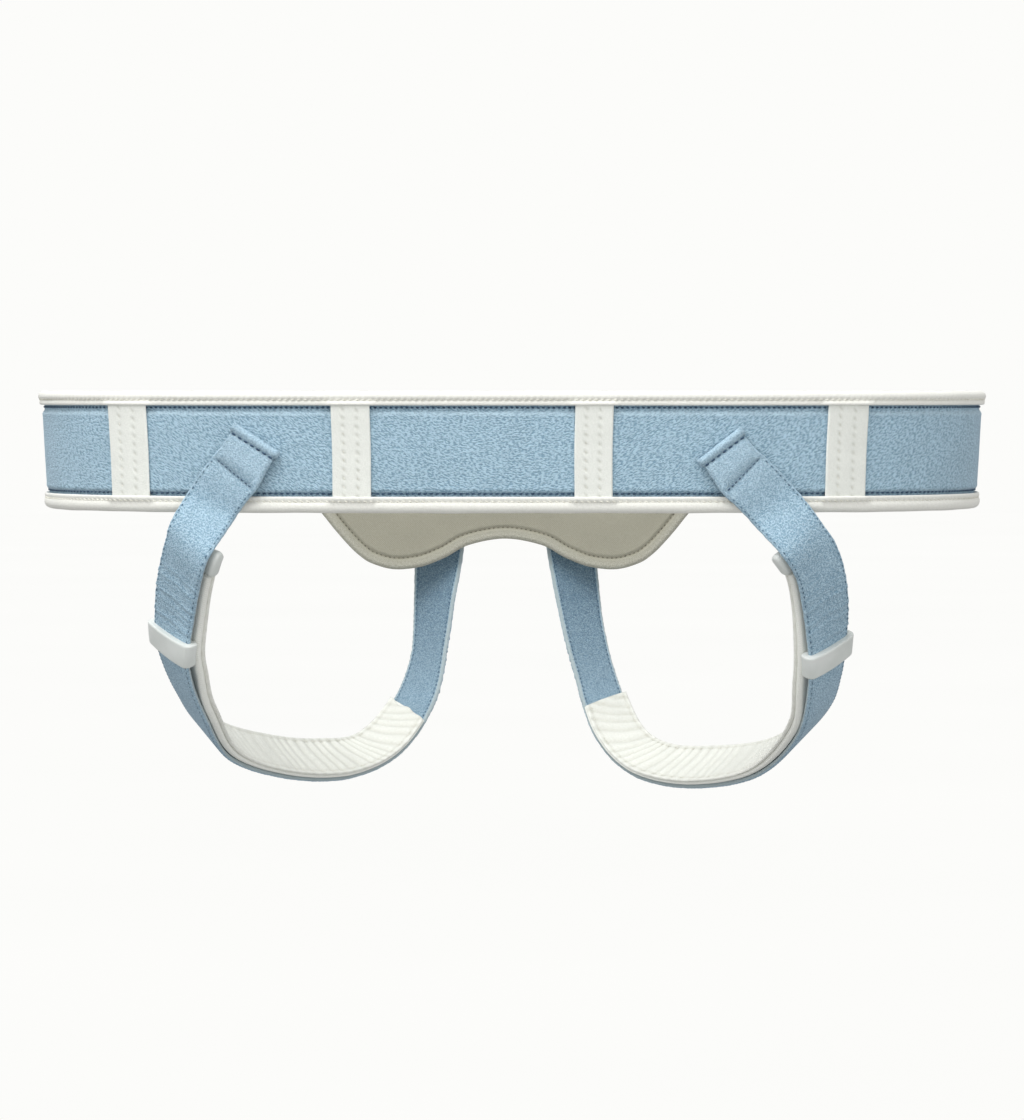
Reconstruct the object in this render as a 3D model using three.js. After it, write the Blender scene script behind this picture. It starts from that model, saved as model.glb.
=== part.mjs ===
// A hernia belt in the shape it has when worn: a padded waistband, a two-lobed groin pad and two padded leg
// straps.
// Millimetres, +Z up. The origin is the middle of the band's opening, halfway up the band.
// The strap tabs are sewn on the -Y side, and the groin pad hangs inside the band on the +Y side.
import * as THREE from "three";

// Waistband.
const HIP_BREADTH = 369; // inside the band, left to right
const HIP_DEPTH = 232; // inside the band, front to back
const HIP_SQUARENESS = 3; // 2 is an ellipse, and more is squarer
const BAND_HEIGHT = 46.5;
const BAND_THICKNESS = 4;
const BAND_TAPER = 0.014; // share by which the band is narrower at its bottom than at its top
const BAND_STEPS = 72;
const LAYER_GAP = 0.3; // between pieces that touch

// Bindings over the band's edges.
const BINDING_THICKNESS = 1;
const BINDING_ROLL = 0.5; // how far the rolled edge swells past the flange
const TOP_BINDING_HEIGHT = 5.8;
const BOTTOM_BINDING_HEIGHT = 6.6;

// Vertical tapes over the panel. across is a share of half the hip breadth.
const TAPE_THICKNESS = 0.9;
const TAPE_STEPS = 4;
const TAPES = [
  { name: "keeper_tape_1", across: -0.793, width: 17.4 },
  { name: "keeper_tape_2", across: -0.333, width: 14.8 },
  { name: "keeper_tape_3", across: 0.17, width: 14.6 },
  { name: "keeper_tape_4", across: 0.692, width: 16.6 },
];

// Closing flap on the far side.
const FLAP_LENGTH = 90;
const FLAP_MARGIN = 8.25; // from the flap's edges to the band's edges
const FLAP_THICKNESS = 1.4;
const FLAP_STEPS = 12;
const FLAP_ACROSS = 0.1; // its middle, as a share of half the hip breadth

// Groin pad. across is a share of half the pad's width, and down is a share of PAD_HANG.
const PAD_WIDTH = 184;
const PAD_THICKNESS = 7;
const PAD_HANG = 29.6; // from the band's lower edge to the lowest point of a lobe
const PAD_RISE = 36; // from the band's lower edge to the pad's upper edge
const PAD_OFFSET = -3; // the pad's middle line, from the middle of the band
const PAD_RIM_THICKNESS = 3.6;
const PAD_RIM_WIDTH = 4.3; // width of the rolled rim, out to which the pad thins
const PAD_CORNER_DROP = 9; // how much lower the pad's upper edge is at its ends
const PAD_COLUMNS = 40;
const PAD_ROWS = 10;
const PAD_LOWER_EDGE = [
  { across: 0.0, down: 0.56 },
  { across: 0.17, down: 0.65 },
  { across: 0.29, down: 0.84 },
  { across: 0.41, down: 0.97 },
  { across: 0.53, down: 1.0 },
  { across: 0.64, down: 0.91 },
  { across: 0.7, down: 0.79 },
  { across: 0.78, down: 0.54 },
  { across: 0.87, down: 0.2 },
  { across: 0.95, down: -0.1 },
  { across: 1.0, down: -0.4 },
];

// Leg straps.
const STRAP_WIDTH = 21.4;
const STRAP_THICKNESS = 2;
const STRAP_DROP = 106; // from the band's lower edge to about the lowest point of a strap's middle line
const STRAP_STEPS = 72; // the lining shares these steps, so that its gap to the strap stays even
const STRAP_WIDTH_STEPS = 4;
const LENGTH_DIVISIONS = 600; // for measuring along a strap's curve
const HEM_LENGTH = 3; // rolled hem at the tab end
const HEM_THICKNESS = 3;

// Padded lining on each strap's inner face.
const LINING_WIDTH = 20.8;
const LINING_THICKNESS = 4.4;
const LINING_RIM_THICKNESS = 3;
const LINING_SPREAD = 20; // length below the loop over which the lining moves away from the strap

// Plastic loop round each strap, and the glide at the upper end of the lining.
const LOOP_WIDTH = 8.6; // along the strap
const LOOP_BAR = 1.7;
const LOOP_SIDE_BAR = 2.2;
const LOOP_CORNER = 1.2;
const LOOP_STEPS = 3;
const CORNER_STEPS = 3; // faces round each corner of the loops and glides
const GLIDE_LENGTH = 12.5;
const GLIDE_THICKNESS = 5;
const GLIDE_OVERHANG = 0.9; // past each edge of the lining
const GLIDE_CORNER = 2.2;

// Where each strap's middle line runs, from its tab to its hidden end.
// tab rows lie on the band's outer face. across is a share of half the hip breadth, high a share of the
// band's height above its middle, and lift a share of the way out from the panel to clear of the binding.
// hanging rows lie below the band. across and depth are shares of half the hip breadth and depth, and down
// is a share of STRAP_DROP. The line from the strap's inner edge to its outer edge has two angles in
// degrees: swing away from the sideways direction towards +Y, and rise above level.
// root rows lie behind the pad. loop, lining and glide places are shares of the strap's length.
const LEFT_STRAP = {
  side: -1,
  loopAt: 0.222,
  lining: { from: 0.14, to: 0.71 },
  tab: [
    { across: 0.523, high: 0.12, lift: 0 },
    { across: 0.566, high: -0.15, lift: 0.7 },
    { across: 0.592, high: -0.28, lift: 1 },
    { across: 0.62, high: -0.44, lift: 1 },
  ],
  hanging: [
    { across: 0.667, depth: -1.015, down: 0.11, swing: 32, rise: 34 },
    { across: 0.69, depth: -0.95, down: 0.24, swing: 34, rise: 27 },
    { across: 0.702, depth: -0.89, down: 0.35, swing: 38, rise: 24 },
    { across: 0.71, depth: -0.82, down: 0.5, swing: 49, rise: 21 },
    { across: 0.702, depth: -0.76, down: 0.59, swing: 51, rise: 24 },
    { across: 0.678, depth: -0.64, down: 0.715, swing: 46, rise: 32 },
    { across: 0.637, depth: -0.4, down: 0.865, swing: 43, rise: 40 },
    { across: 0.53, depth: -0.11, down: 0.957, swing: 42, rise: 43 },
    { across: 0.405, depth: 0.18, down: 0.995, swing: 36, rise: 38 },
    { across: 0.3, depth: 0.465, down: 0.955, swing: 25, rise: 14 },
    { across: 0.223, depth: 0.725, down: 0.795, swing: 30, rise: -4 },
    { across: 0.19, depth: 0.885, down: 0.6, swing: 42, rise: -12 },
    { across: 0.179, depth: 0.97, down: 0.4, swing: 34, rise: -5 },
    { across: 0.172, depth: 0.998, down: 0.27, swing: 20, rise: -2 },
    { across: 0.168, depth: 0.993, down: 0.17, swing: 7, rise: 0 },
    { across: 0.164, depth: 0.982, down: 0.08, swing: 2, rise: 0 },
  ],
  root: [
    { across: 0.16, high: -0.5 },
    { across: 0.15, high: -0.16 },
  ],
};
const RIGHT_STRAP = {
  side: 1,
  loopAt: 0.238,
  lining: { from: 0.14, to: 0.73 },
  tab: [
    { across: 0.425, high: 0.07, lift: 0 },
    { across: 0.472, high: -0.17, lift: 0.8 },
    { across: 0.499, high: -0.27, lift: 1 },
    { across: 0.54, high: -0.44, lift: 1 },
  ],
  hanging: [
    { across: 0.599, depth: -1.017, down: 0.095, swing: 28, rise: 40 },
    { across: 0.632, depth: -0.975, down: 0.185, swing: 24, rise: 33 },
    { across: 0.652, depth: -0.905, down: 0.325, swing: 27, rise: 23 },
    { across: 0.66, depth: -0.806, down: 0.52, swing: 43, rise: 20 },
    { across: 0.656, depth: -0.724, down: 0.65, swing: 45, rise: 25 },
    { across: 0.64, depth: -0.595, down: 0.775, swing: 42, rise: 33 },
    { across: 0.563, depth: -0.267, down: 0.945, swing: 39, rise: 38 },
    { across: 0.437, depth: 0.034, down: 1.013, swing: 38, rise: 40 },
    { across: 0.315, depth: 0.328, down: 1.01, swing: 28, rise: 27 },
    { across: 0.243, depth: 0.543, down: 0.92, swing: 20, rise: 4 },
    { across: 0.19, depth: 0.8, down: 0.69, swing: 30, rise: -8 },
    { across: 0.166, depth: 0.905, down: 0.53, swing: 31, rise: -5 },
    { across: 0.153, depth: 0.965, down: 0.4, swing: 27, rise: -1 },
    { across: 0.143, depth: 0.995, down: 0.27, swing: 17, rise: 0 },
    { across: 0.137, depth: 0.993, down: 0.17, swing: 6, rise: 1 },
    { across: 0.133, depth: 0.982, down: 0.08, swing: 2, rise: 1 },
  ],
  root: [
    { across: 0.13, high: -0.5 },
    { across: 0.122, high: -0.16 },
  ],
};

// Places that follow from the sizes above.
const BAND_TOP = BAND_HEIGHT / 2;
const PANEL_HALF_HEIGHT = BAND_TOP - BINDING_THICKNESS - BINDING_ROLL - LAYER_GAP;
const ON_PANEL = BAND_THICKNESS + LAYER_GAP;
const STRAP_ON_PANEL = ON_PANEL + HEM_THICKNESS / 2;
const STRAP_OVER_BINDING = ON_PANEL + BINDING_THICKNESS + BINDING_ROLL + LAYER_GAP + STRAP_THICKNESS / 2;
const STRAP_IN_BAND = -(LAYER_GAP + BINDING_THICKNESS + LAYER_GAP + STRAP_THICKNESS / 2);
const PAD_BACK = STRAP_IN_BAND - STRAP_THICKNESS / 2 - LAYER_GAP;
const LOOP_STANDOFF = LOOP_BAR + LAYER_GAP;

const blueCloth = { color: 0x8fb6d0, roughness: 0.9, metalness: 0 };
const creamCloth = { color: 0xe8e8de, roughness: 0.92, metalness: 0 };
const padCloth = { color: 0xd8d5c4, roughness: 0.95, metalness: 0 };
const whitePlastic = { color: 0xe9ecea, roughness: 0.4, metalness: 0 };

function signedPower(base, power) {
  return Math.sign(base) * Math.abs(base) ** power;
}

function smoothStep(from, to, value) {
  return THREE.MathUtils.smoothstep(value, from, to);
}

// The plan curve's angle at a share of half the breadth, on the near side (-1) or the far side (+1).
function bandAngle(across, side) {
  return side * Math.acos(signedPower(across, HIP_SQUARENESS / 2));
}

// The point at a height on the band's plan curve, moved outwards by offset, and the outward direction there.
function bandPoint(angle, offset, z) {
  const spread = 1 + BAND_TAPER * (z / BAND_HEIGHT - 0.5);
  const cosine = signedPower(Math.cos(angle), 2 / HIP_SQUARENESS);
  const sine = signedPower(Math.sin(angle), 2 / HIP_SQUARENESS);
  const outward = new THREE.Vector3(
    signedPower(cosine, HIP_SQUARENESS - 1) / HIP_BREADTH,
    signedPower(sine, HIP_SQUARENESS - 1) / HIP_DEPTH,
    0,
  ).normalize();
  const x = (cosine * HIP_BREADTH * spread) / 2;
  const point = new THREE.Vector3(x, (sine * HIP_DEPTH * spread) / 2, z);
  return { point: point.addScaledVector(outward, offset), outward };
}

// Moves every vertex of a geometry to where place(x, y, z) puts it.
function bend(geometry, place) {
  const position = geometry.attributes.position;
  for (let index = 0; index < position.count; index += 1) {
    const moved = place(position.getX(index), position.getY(index), position.getZ(index));
    position.setXYZ(index, moved.x, moved.y, moved.z);
  }
  geometry.computeVertexNormals();
  return geometry;
}

function piece(name, geometry, finish) {
  const mesh = new THREE.Mesh(geometry, new THREE.MeshStandardMaterial(finish));
  mesh.name = name;
  return mesh;
}

// A closed ring all round the band, from a section of [offset, height] points.
function bandRing(section) {
  const base = HIP_BREADTH / 2;
  const profile = [...section, section[0]].map(([offset, z]) => new THREE.Vector2(base + offset, z));
  return bend(new THREE.LatheGeometry(profile, BAND_STEPS), (x, y, z) => {
    return bandPoint(Math.atan2(z, x), Math.hypot(x, z) - base, y).point;
  });
}

function makePanel() {
  const section = [
    [BAND_THICKNESS, -PANEL_HALF_HEIGHT],
    [0, -PANEL_HALF_HEIGHT],
    [0, PANEL_HALF_HEIGHT],
    [BAND_THICKNESS, PANEL_HALF_HEIGHT],
  ];
  return piece("waist_panel", bandRing(section), blueCloth);
}

// A binding folded over one edge of the band, the top (+1) or the bottom (-1).
function makeBinding(name, end, height) {
  const outerFlange = ON_PANEL + BINDING_THICKNESS;
  const innerFlange = -LAYER_GAP - BINDING_THICKNESS;
  const flangeEdge = BAND_TOP - height;
  const inside = PANEL_HALF_HEIGHT + LAYER_GAP;
  const shoulder = BAND_TOP - BINDING_THICKNESS;
  const section = [
    [outerFlange, flangeEdge],
    [outerFlange + BINDING_ROLL, BAND_TOP - height / 2],
    [outerFlange, shoulder],
    [BAND_THICKNESS / 2, BAND_TOP],
    [innerFlange, shoulder],
    [innerFlange, flangeEdge],
    [-LAYER_GAP, flangeEdge],
    [-LAYER_GAP, inside],
    [ON_PANEL, inside],
    [ON_PANEL, flangeEdge],
  ].map(([offset, z]) => [offset, end * z]);
  return piece(name, bandRing(end > 0 ? section.reverse() : section), creamCloth);
}

// A flat patch on the band's outer face, with its middle at a share of half the breadth.
function bandPatch({ across, side, width, bottom, top, thickness, steps }) {
  const middle = (across * HIP_BREADTH) / 2;
  return bend(new THREE.BoxGeometry(1, 1, 1, steps, 1, 1), (x, y, z) => {
    const angle = bandAngle(((middle + side * x * width) * 2) / HIP_BREADTH, side);
    const height = THREE.MathUtils.lerp(bottom, top, z + 0.5);
    return bandPoint(angle, ON_PANEL + (y + 0.5) * thickness, height).point;
  });
}

function makeTapes() {
  return TAPES.map(({ name, across, width }) => {
    const slope = Math.abs(bandPoint(bandAngle(across, -1), 0, 0).outward.y);
    const patch = bandPatch({
      across,
      side: -1,
      width: width * slope,
      bottom: BOTTOM_BINDING_HEIGHT - BAND_TOP + LAYER_GAP,
      top: BAND_TOP - TOP_BINDING_HEIGHT - LAYER_GAP,
      thickness: TAPE_THICKNESS,
      steps: TAPE_STEPS,
    });
    return piece(name, patch, creamCloth);
  });
}

function makeFlap() {
  const patch = bandPatch({
    across: FLAP_ACROSS,
    side: 1,
    width: FLAP_LENGTH,
    bottom: FLAP_MARGIN - BAND_TOP,
    top: BAND_TOP - FLAP_MARGIN,
    thickness: FLAP_THICKNESS,
    steps: FLAP_STEPS,
  });
  return piece("closure_flap", patch, blueCloth);
}

const padEdge = new THREE.SplineCurve(
  PAD_LOWER_EDGE.map(({ across, down }) => new THREE.Vector2(across, down)),
);

// The height of the pad's lower edge at a share of half its width.
function padLowerEdge(share) {
  const last = PAD_LOWER_EDGE.length - 1;
  const row = Math.max(1, PAD_LOWER_EDGE.findIndex(({ across }) => across >= Math.abs(share) - 1e-9));
  const before = PAD_LOWER_EDGE[row - 1].across;
  const within = (Math.abs(share) - before) / (PAD_LOWER_EDGE[row].across - before);
  return -BAND_TOP - PAD_HANG * padEdge.getPoint((row - 1 + within) / last).y;
}

function makePad() {
  const box = new THREE.BoxGeometry(2, 1, 1, PAD_COLUMNS, 1, PAD_ROWS);
  const pad = bend(box, (x, y, z) => {
    const low = padLowerEdge(x);
    const high = PAD_RISE - BAND_TOP - PAD_CORNER_DROP * x ** 8;
    const height = THREE.MathUtils.lerp(low, high, (1 + Math.sin(Math.PI * z)) / 2);
    const fromEnd = ((1 - Math.abs(x)) * PAD_WIDTH) / 2;
    const fromRim = Math.min(fromEnd, height - low, high - height);
    const fullness = smoothStep(0, PAD_RIM_WIDTH, fromRim);
    const thickness = THREE.MathUtils.lerp(PAD_RIM_THICKNESS, PAD_THICKNESS, fullness);
    const angle = bandAngle(((PAD_OFFSET + (x * PAD_WIDTH) / 2) * 2) / HIP_BREADTH, 1);
    return bandPoint(angle, PAD_BACK - (0.5 - y) * thickness, height).point;
  });
  return piece("groin_pad", pad, padCloth);
}

// The smooth middle line of a strap, and the direction to its outer edge all along it.
function strapPath(strap) {
  const { side, tab, hanging, root } = strap;
  const onBand = [
    ...tab.map(({ across, high, lift }) => {
      const offset = THREE.MathUtils.lerp(STRAP_ON_PANEL, STRAP_OVER_BINDING, lift);
      return bandPoint(bandAngle(side * across, -1), offset, high * BAND_HEIGHT);
    }),
    ...root.map(({ across, high }) => {
      return bandPoint(bandAngle(side * across, 1), STRAP_IN_BAND, high * BAND_HEIGHT);
    }),
  ];
  const inAir = hanging.map(({ across, depth, down }) => {
    const x = (side * across * HIP_BREADTH) / 2;
    return new THREE.Vector3(x, (depth * HIP_DEPTH) / 2, -BAND_TOP - down * STRAP_DROP);
  });
  const points = onBand.map(({ point }) => point);
  points.splice(tab.length, 0, ...inAir);
  const line = new THREE.CatmullRomCurve3(points, false, "centripetal");
  line.arcLengthDivisions = LENGTH_DIVISIONS;
  const last = points.length - 1;
  const bandAcross = onBand.map(({ outward }, index) => {
    const station = index < tab.length ? index : index + hanging.length;
    const across = new THREE.Vector3().crossVectors(outward, line.getTangent(station / last));
    return across.normalize().multiplyScalar(Math.sign(across.x) * side);
  });
  const airAcross = hanging.map(({ swing, rise }) => {
    const [yaw, pitch] = [swing, rise].map(THREE.MathUtils.degToRad);
    const level = Math.cos(pitch);
    return new THREE.Vector3(side * level * Math.cos(yaw), level * Math.sin(yaw), Math.sin(pitch));
  });
  bandAcross.splice(tab.length, 0, ...airAcross);
  return { side, line, across: new THREE.CatmullRomCurve3(bandAcross), length: line.getLength() };
}

// The point at a distance along a strap, moved towards its outer edge and out of its outer face.
function strapPoint(path, along, sideways, outwards) {
  const share = path.line.getUtoTmapping(THREE.MathUtils.clamp(along / path.length, 0, 1));
  const tangent = path.line.getTangent(share);
  const across = path.across.getPoint(share);
  across.addScaledVector(tangent, -across.dot(tangent)).normalize();
  const outward = new THREE.Vector3().crossVectors(across, tangent).multiplyScalar(-path.side);
  return path.line.getPoint(share).addScaledVector(across, sideways).addScaledVector(outward, outwards);
}

function makeStrap(name, path) {
  const box = new THREE.BoxGeometry(1, 1, 1, STRAP_WIDTH_STEPS, 1, STRAP_STEPS);
  const strap = bend(box, (x, y, z) => {
    const along = (z + 0.5) * path.length;
    const thickness = along < HEM_LENGTH ? HEM_THICKNESS : STRAP_THICKNESS;
    return strapPoint(path, along, path.side * x * STRAP_WIDTH, y * thickness);
  });
  return piece(name, strap, blueCloth);
}

// How far the lining stands off the strap: its own gap, and more beside the loop and above it.
function liningStandoff(along, loopAt) {
  const below = loopAt + LOOP_WIDTH;
  return LAYER_GAP + LOOP_STANDOFF * (1 - smoothStep(below, below + LINING_SPREAD, along));
}

function makeLining(name, path, strap) {
  const [from, to] = [strap.lining.from, strap.lining.to].map((share) => Math.round(share * STRAP_STEPS));
  const loopAt = strap.loopAt * path.length;
  const lining = bend(new THREE.BoxGeometry(1, 1, 1, STRAP_WIDTH_STEPS, 1, to - from), (x, y, z) => {
    const along = (THREE.MathUtils.lerp(from, to, z + 0.5) / STRAP_STEPS) * path.length;
    const crown = 1 - (2 * x) ** 2;
    const thickness = THREE.MathUtils.lerp(LINING_RIM_THICKNESS, LINING_THICKNESS, crown);
    const outwards = -STRAP_THICKNESS / 2 - liningStandoff(along, loopAt) - (0.5 - y) * thickness;
    return strapPoint(path, along, path.side * x * LINING_WIDTH, outwards);
  });
  return piece(name, lining, creamCloth);
}

function roundedRectangle(path, halfWidth, halfHeight, corner) {
  path.moveTo(halfWidth, corner - halfHeight);
  path.absarc(halfWidth - corner, halfHeight - corner, corner, 0, Math.PI / 2);
  path.absarc(corner - halfWidth, halfHeight - corner, corner, Math.PI / 2, Math.PI);
  path.absarc(corner - halfWidth, corner - halfHeight, corner, Math.PI, Math.PI * 1.5);
  path.absarc(halfWidth - corner, corner - halfHeight, corner, Math.PI * 1.5, Math.PI * 2);
  return path;
}

// A flat-sided loop that the strap runs through, following the strap's own bend.
function makeLoop(name, path, strap) {
  const halfHole = STRAP_THICKNESS / 2 + LAYER_GAP;
  const halfSpan = STRAP_WIDTH / 2 + LAYER_GAP;
  const size = [halfSpan + LOOP_SIDE_BAR, halfHole + LOOP_BAR, LOOP_CORNER];
  const outline = roundedRectangle(new THREE.Shape(), ...size);
  outline.holes.push(roundedRectangle(new THREE.Path(), halfSpan, halfHole, LAYER_GAP));
  const block = new THREE.ExtrudeGeometry(outline, {
    depth: LOOP_WIDTH,
    steps: LOOP_STEPS,
    bevelEnabled: false,
    curveSegments: CORNER_STEPS,
  });
  const start = strap.loopAt * path.length - LOOP_WIDTH / 2;
  return piece(name, bend(block, (x, y, z) => strapPoint(path, start + z, path.side * x, y)), whitePlastic);
}

// A rounded plastic bar across the upper end of the lining.
function makeGlide(name, path, strap) {
  const outline = roundedRectangle(new THREE.Shape(), GLIDE_THICKNESS / 2, GLIDE_LENGTH / 2, GLIDE_CORNER);
  const width = LINING_WIDTH + GLIDE_OVERHANG * 2;
  const block = new THREE.ExtrudeGeometry(outline, {
    depth: width,
    bevelEnabled: false,
    curveSegments: CORNER_STEPS,
  });
  const liningEnd = (Math.round(strap.lining.from * STRAP_STEPS) / STRAP_STEPS) * path.length;
  const middle = liningEnd - LAYER_GAP - GLIDE_LENGTH / 2;
  const outwards = -STRAP_THICKNESS / 2 - LAYER_GAP - LOOP_STANDOFF - GLIDE_THICKNESS / 2;
  const glide = bend(block, (x, y, z) => {
    return strapPoint(path, middle + y, -path.side * (z - width / 2), outwards - x);
  });
  return piece(name, glide, whitePlastic);
}

function makeLegStrap(strap) {
  const end = strap.side < 0 ? "left" : "right";
  const path = strapPath(strap);
  const group = new THREE.Group();
  group.add(makeStrap(`leg_strap_${end}`, path));
  group.add(makeLining(`strap_lining_${end}`, path, strap));
  group.add(makeLoop(`strap_loop_${end}`, path, strap));
  group.add(makeGlide(`strap_glide_${end}`, path, strap));
  return group;
}

const belt = new THREE.Group();
belt.add(makePanel());
belt.add(makeBinding("top_binding", 1, TOP_BINDING_HEIGHT));
belt.add(makeBinding("bottom_binding", -1, BOTTOM_BINDING_HEIGHT));
belt.add(...makeTapes());
belt.add(makeFlap(), makePad());
belt.add(makeLegStrap(LEFT_STRAP), makeLegStrap(RIGHT_STRAP));

export default belt;
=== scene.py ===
"""The visual model of a hernia belt: padded waistband, groin pad and two padded leg straps.

All lengths are in metres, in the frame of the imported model. Every cloth piece is laid out flat, gets its
seams, folds and padding there, and is then bent onto the waistband's curve or along a strap.
"""

import logging
import math
from dataclasses import dataclass
from enum import Enum
from functools import cached_property
from typing import Callable, ClassVar, Iterable

import bmesh
import bpy
import numpy as np
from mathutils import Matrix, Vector


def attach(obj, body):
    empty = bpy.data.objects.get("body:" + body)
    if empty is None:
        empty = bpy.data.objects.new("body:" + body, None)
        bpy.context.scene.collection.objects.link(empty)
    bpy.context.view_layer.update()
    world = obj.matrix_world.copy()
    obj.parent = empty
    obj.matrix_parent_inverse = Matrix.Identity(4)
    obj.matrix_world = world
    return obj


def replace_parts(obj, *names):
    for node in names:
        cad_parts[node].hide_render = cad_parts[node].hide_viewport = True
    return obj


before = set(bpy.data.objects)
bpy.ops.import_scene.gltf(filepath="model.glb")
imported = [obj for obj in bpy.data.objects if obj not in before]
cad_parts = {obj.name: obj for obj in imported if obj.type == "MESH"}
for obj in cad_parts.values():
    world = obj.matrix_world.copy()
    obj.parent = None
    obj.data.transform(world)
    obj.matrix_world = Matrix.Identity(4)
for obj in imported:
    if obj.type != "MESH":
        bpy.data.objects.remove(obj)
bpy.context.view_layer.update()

MM = 0.001
TURN = 2 * math.pi
ROOT = "root"
FLAT = "flat"  # attribute: where a point lay before its piece was bent
LOG = logging.getLogger("hernia_belt")

Array = np.ndarray
Place = Callable[[Array, Array, Array], Array]


# Curves of the waistband and the straps


def signed_power(base: Array, power: float) -> Array:
    """Raises the size of each value to a power and keeps its sign."""
    return np.sign(base) * np.abs(base) ** power


def smooth_step(low: float, high: float, value: Array) -> Array:
    """Goes smoothly from 0 at low to 1 at high."""
    share = np.clip((value - low) / (high - low), 0.0, 1.0)
    return share * share * (3.0 - 2.0 * share)


def ridge(value: Array, middle: float, width: float) -> Array:
    """A smooth hump of height 1 round a middle, about twice its width across."""
    return np.exp(-(((value - middle) / width) ** 2))


def ripple(along: Array, pitches: tuple[float, ...], seed: float) -> Array:
    """An uneven wave from -1 to 1, summed from sines of several pitches."""
    waves = [np.sin(TURN * along / pitch + seed * (i + 1.7) ** 2) for i, pitch in enumerate(pitches)]
    return sum(waves) / len(pitches)


def rolled(distance: Array, radius: float, least: float) -> Array:
    """The height of a rolled edge: least at the edge itself, and 1 from a radius inside it."""
    return np.maximum(np.sqrt(1 - (1 - np.clip(distance / radius, 0.0, 1.0)) ** 2), least)


def reaches(points: Array) -> Array:
    """How far along a line of points each of them is."""
    return np.concatenate([[0.0], np.cumsum(np.linalg.norm(np.diff(points, axis=0), axis=1))])


def unit(vectors: Array) -> Array:
    """Scales each row of an array to length 1."""
    return vectors / np.maximum(np.linalg.norm(vectors, axis=-1, keepdims=True), 1e-12)


class Spline:
    """A smooth open curve through points, in the centripetal form, run through by a share from 0 to 1."""

    CLOSE = 1e-4  # below this two of its points count as one

    def __init__(self, points: Array) -> None:
        """Starts from the rows that the curve passes through."""
        first, last = 2 * points[0] - points[1], 2 * points[-1] - points[-2]
        self.points = np.vstack([first, points, last])
        self.spans = len(points) - 1

    def at(self, share: Array) -> Array:
        """The points on the curve.

        Args:
            share: how far along the rows, from 0 at the first to 1 at the last.

        Returns:
            One row for each share.
        """
        place = np.clip(share, 0.0, 1.0) * self.spans
        index = np.minimum(place.astype(int), self.spans - 1)
        weight = (place - index)[:, None]
        a, b, c, d = (self.points[index + k] for k in range(4))
        before, here, after = (
            np.linalg.norm(q - p, axis=1, keepdims=True) ** 0.5 for p, q in ((a, b), (b, c), (c, d))
        )
        here = np.where(here < self.CLOSE, 1.0, here)
        before = np.where(before < self.CLOSE, here, before)
        after = np.where(after < self.CLOSE, here, after)
        out = ((b - a) / before - (c - a) / (before + here) + (c - b) / here) * here
        into = ((c - b) / here - (d - b) / (here + after) + (d - c) / after) * here
        square = -3 * b + 3 * c - 2 * out - into
        cube = 2 * b - 2 * c + out + into
        return b + weight * (out + weight * (square + weight * cube))


@dataclass(frozen=True)
class BandCurve:
    """The plan curve of the worn waistband, a rounded oblong, measured from the middle of the near side."""

    breadth: float = 0.369
    depth: float = 0.232
    squareness: float = 3.0
    height: float = 0.0465
    taper: float = 0.014
    samples: int = 6000

    @cached_property
    def table(self) -> tuple[Array, Array, Array]:
        """Distances all round from the far side's middle, with the shares of half the breadth and depth.

        Returns:
            The distances, the shares of the breadth and the shares of the depth.
        """
        polar = np.linspace(-1.5 * math.pi, 0.5 * math.pi, self.samples)
        cosine, sine = np.cos(polar), np.sin(polar)
        power = self.squareness
        reach = (np.abs(cosine) ** power + np.abs(sine) ** power) ** (-1 / power)
        across, deep = cosine * reach, sine * reach
        step = np.hypot(np.diff(across) * self.breadth / 2, np.diff(deep) * self.depth / 2)
        along = np.concatenate([[0.0], np.cumsum(step)])
        return along - along[-1] / 2, across, deep

    @property
    def length(self) -> float:
        """The length all round."""
        return float(self.table[0][-1] * 2)

    def near(self, across: float) -> float:
        """The distance along the near side at a share of half the breadth.

        Args:
            across: the share, from -1 to 1.

        Returns:
            The distance.
        """
        along, shares, deep = self.table
        side = (deep <= 0) & (np.abs(along) < self.length / 3)
        return float(np.interp(across, shares[side], along[side]))

    def far(self, across: float) -> float:
        """The distance along the far side at a share of half the breadth."""
        return self.length / 2 - self.near(across)

    def outward(self, across: Array, deep: Array) -> Array:
        """The level direction out of the band where its plan has these shares.

        Args:
            across: shares of half the breadth.
            deep: shares of half the depth.

        Returns:
            One direction for each.
        """
        power = self.squareness - 1
        slope = [signed_power(across, power) / self.breadth, signed_power(deep, power) / self.depth]
        return unit(np.stack([*slope, np.zeros_like(across)], axis=-1))

    def on_plan(self, across: Array, deep: Array, offset: Array, high: Array) -> Array:
        """Points beside the plan curve, at an offset outwards and a height.

        Args:
            across: shares of half the breadth.
            deep: shares of half the depth.
            offset: distances outwards.
            high: heights over the middle.

        Returns:
            One row for each point.
        """
        spread = 1 + self.taper * (high / self.height - 0.5)
        flat = [across * spread * self.breadth / 2, deep * spread * self.depth / 2]
        return np.stack([*flat, high + 0 * across], axis=-1) + self.outward(across, deep) * offset[..., None]

    def place(self, along: Array, offset: Array, high: Array) -> Array:
        """Points at a distance along the band, an offset from its inner face and a height.

        Args:
            along: distances from the far side's middle.
            offset: distances outwards.
            high: heights over the middle.

        Returns:
            One row for each point.
        """
        table, across, deep = self.table
        wrapped = (along + self.length / 2) % self.length - self.length / 2
        return self.on_plan(np.interp(wrapped, table, across), np.interp(wrapped, table, deep), offset, high)


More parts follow.
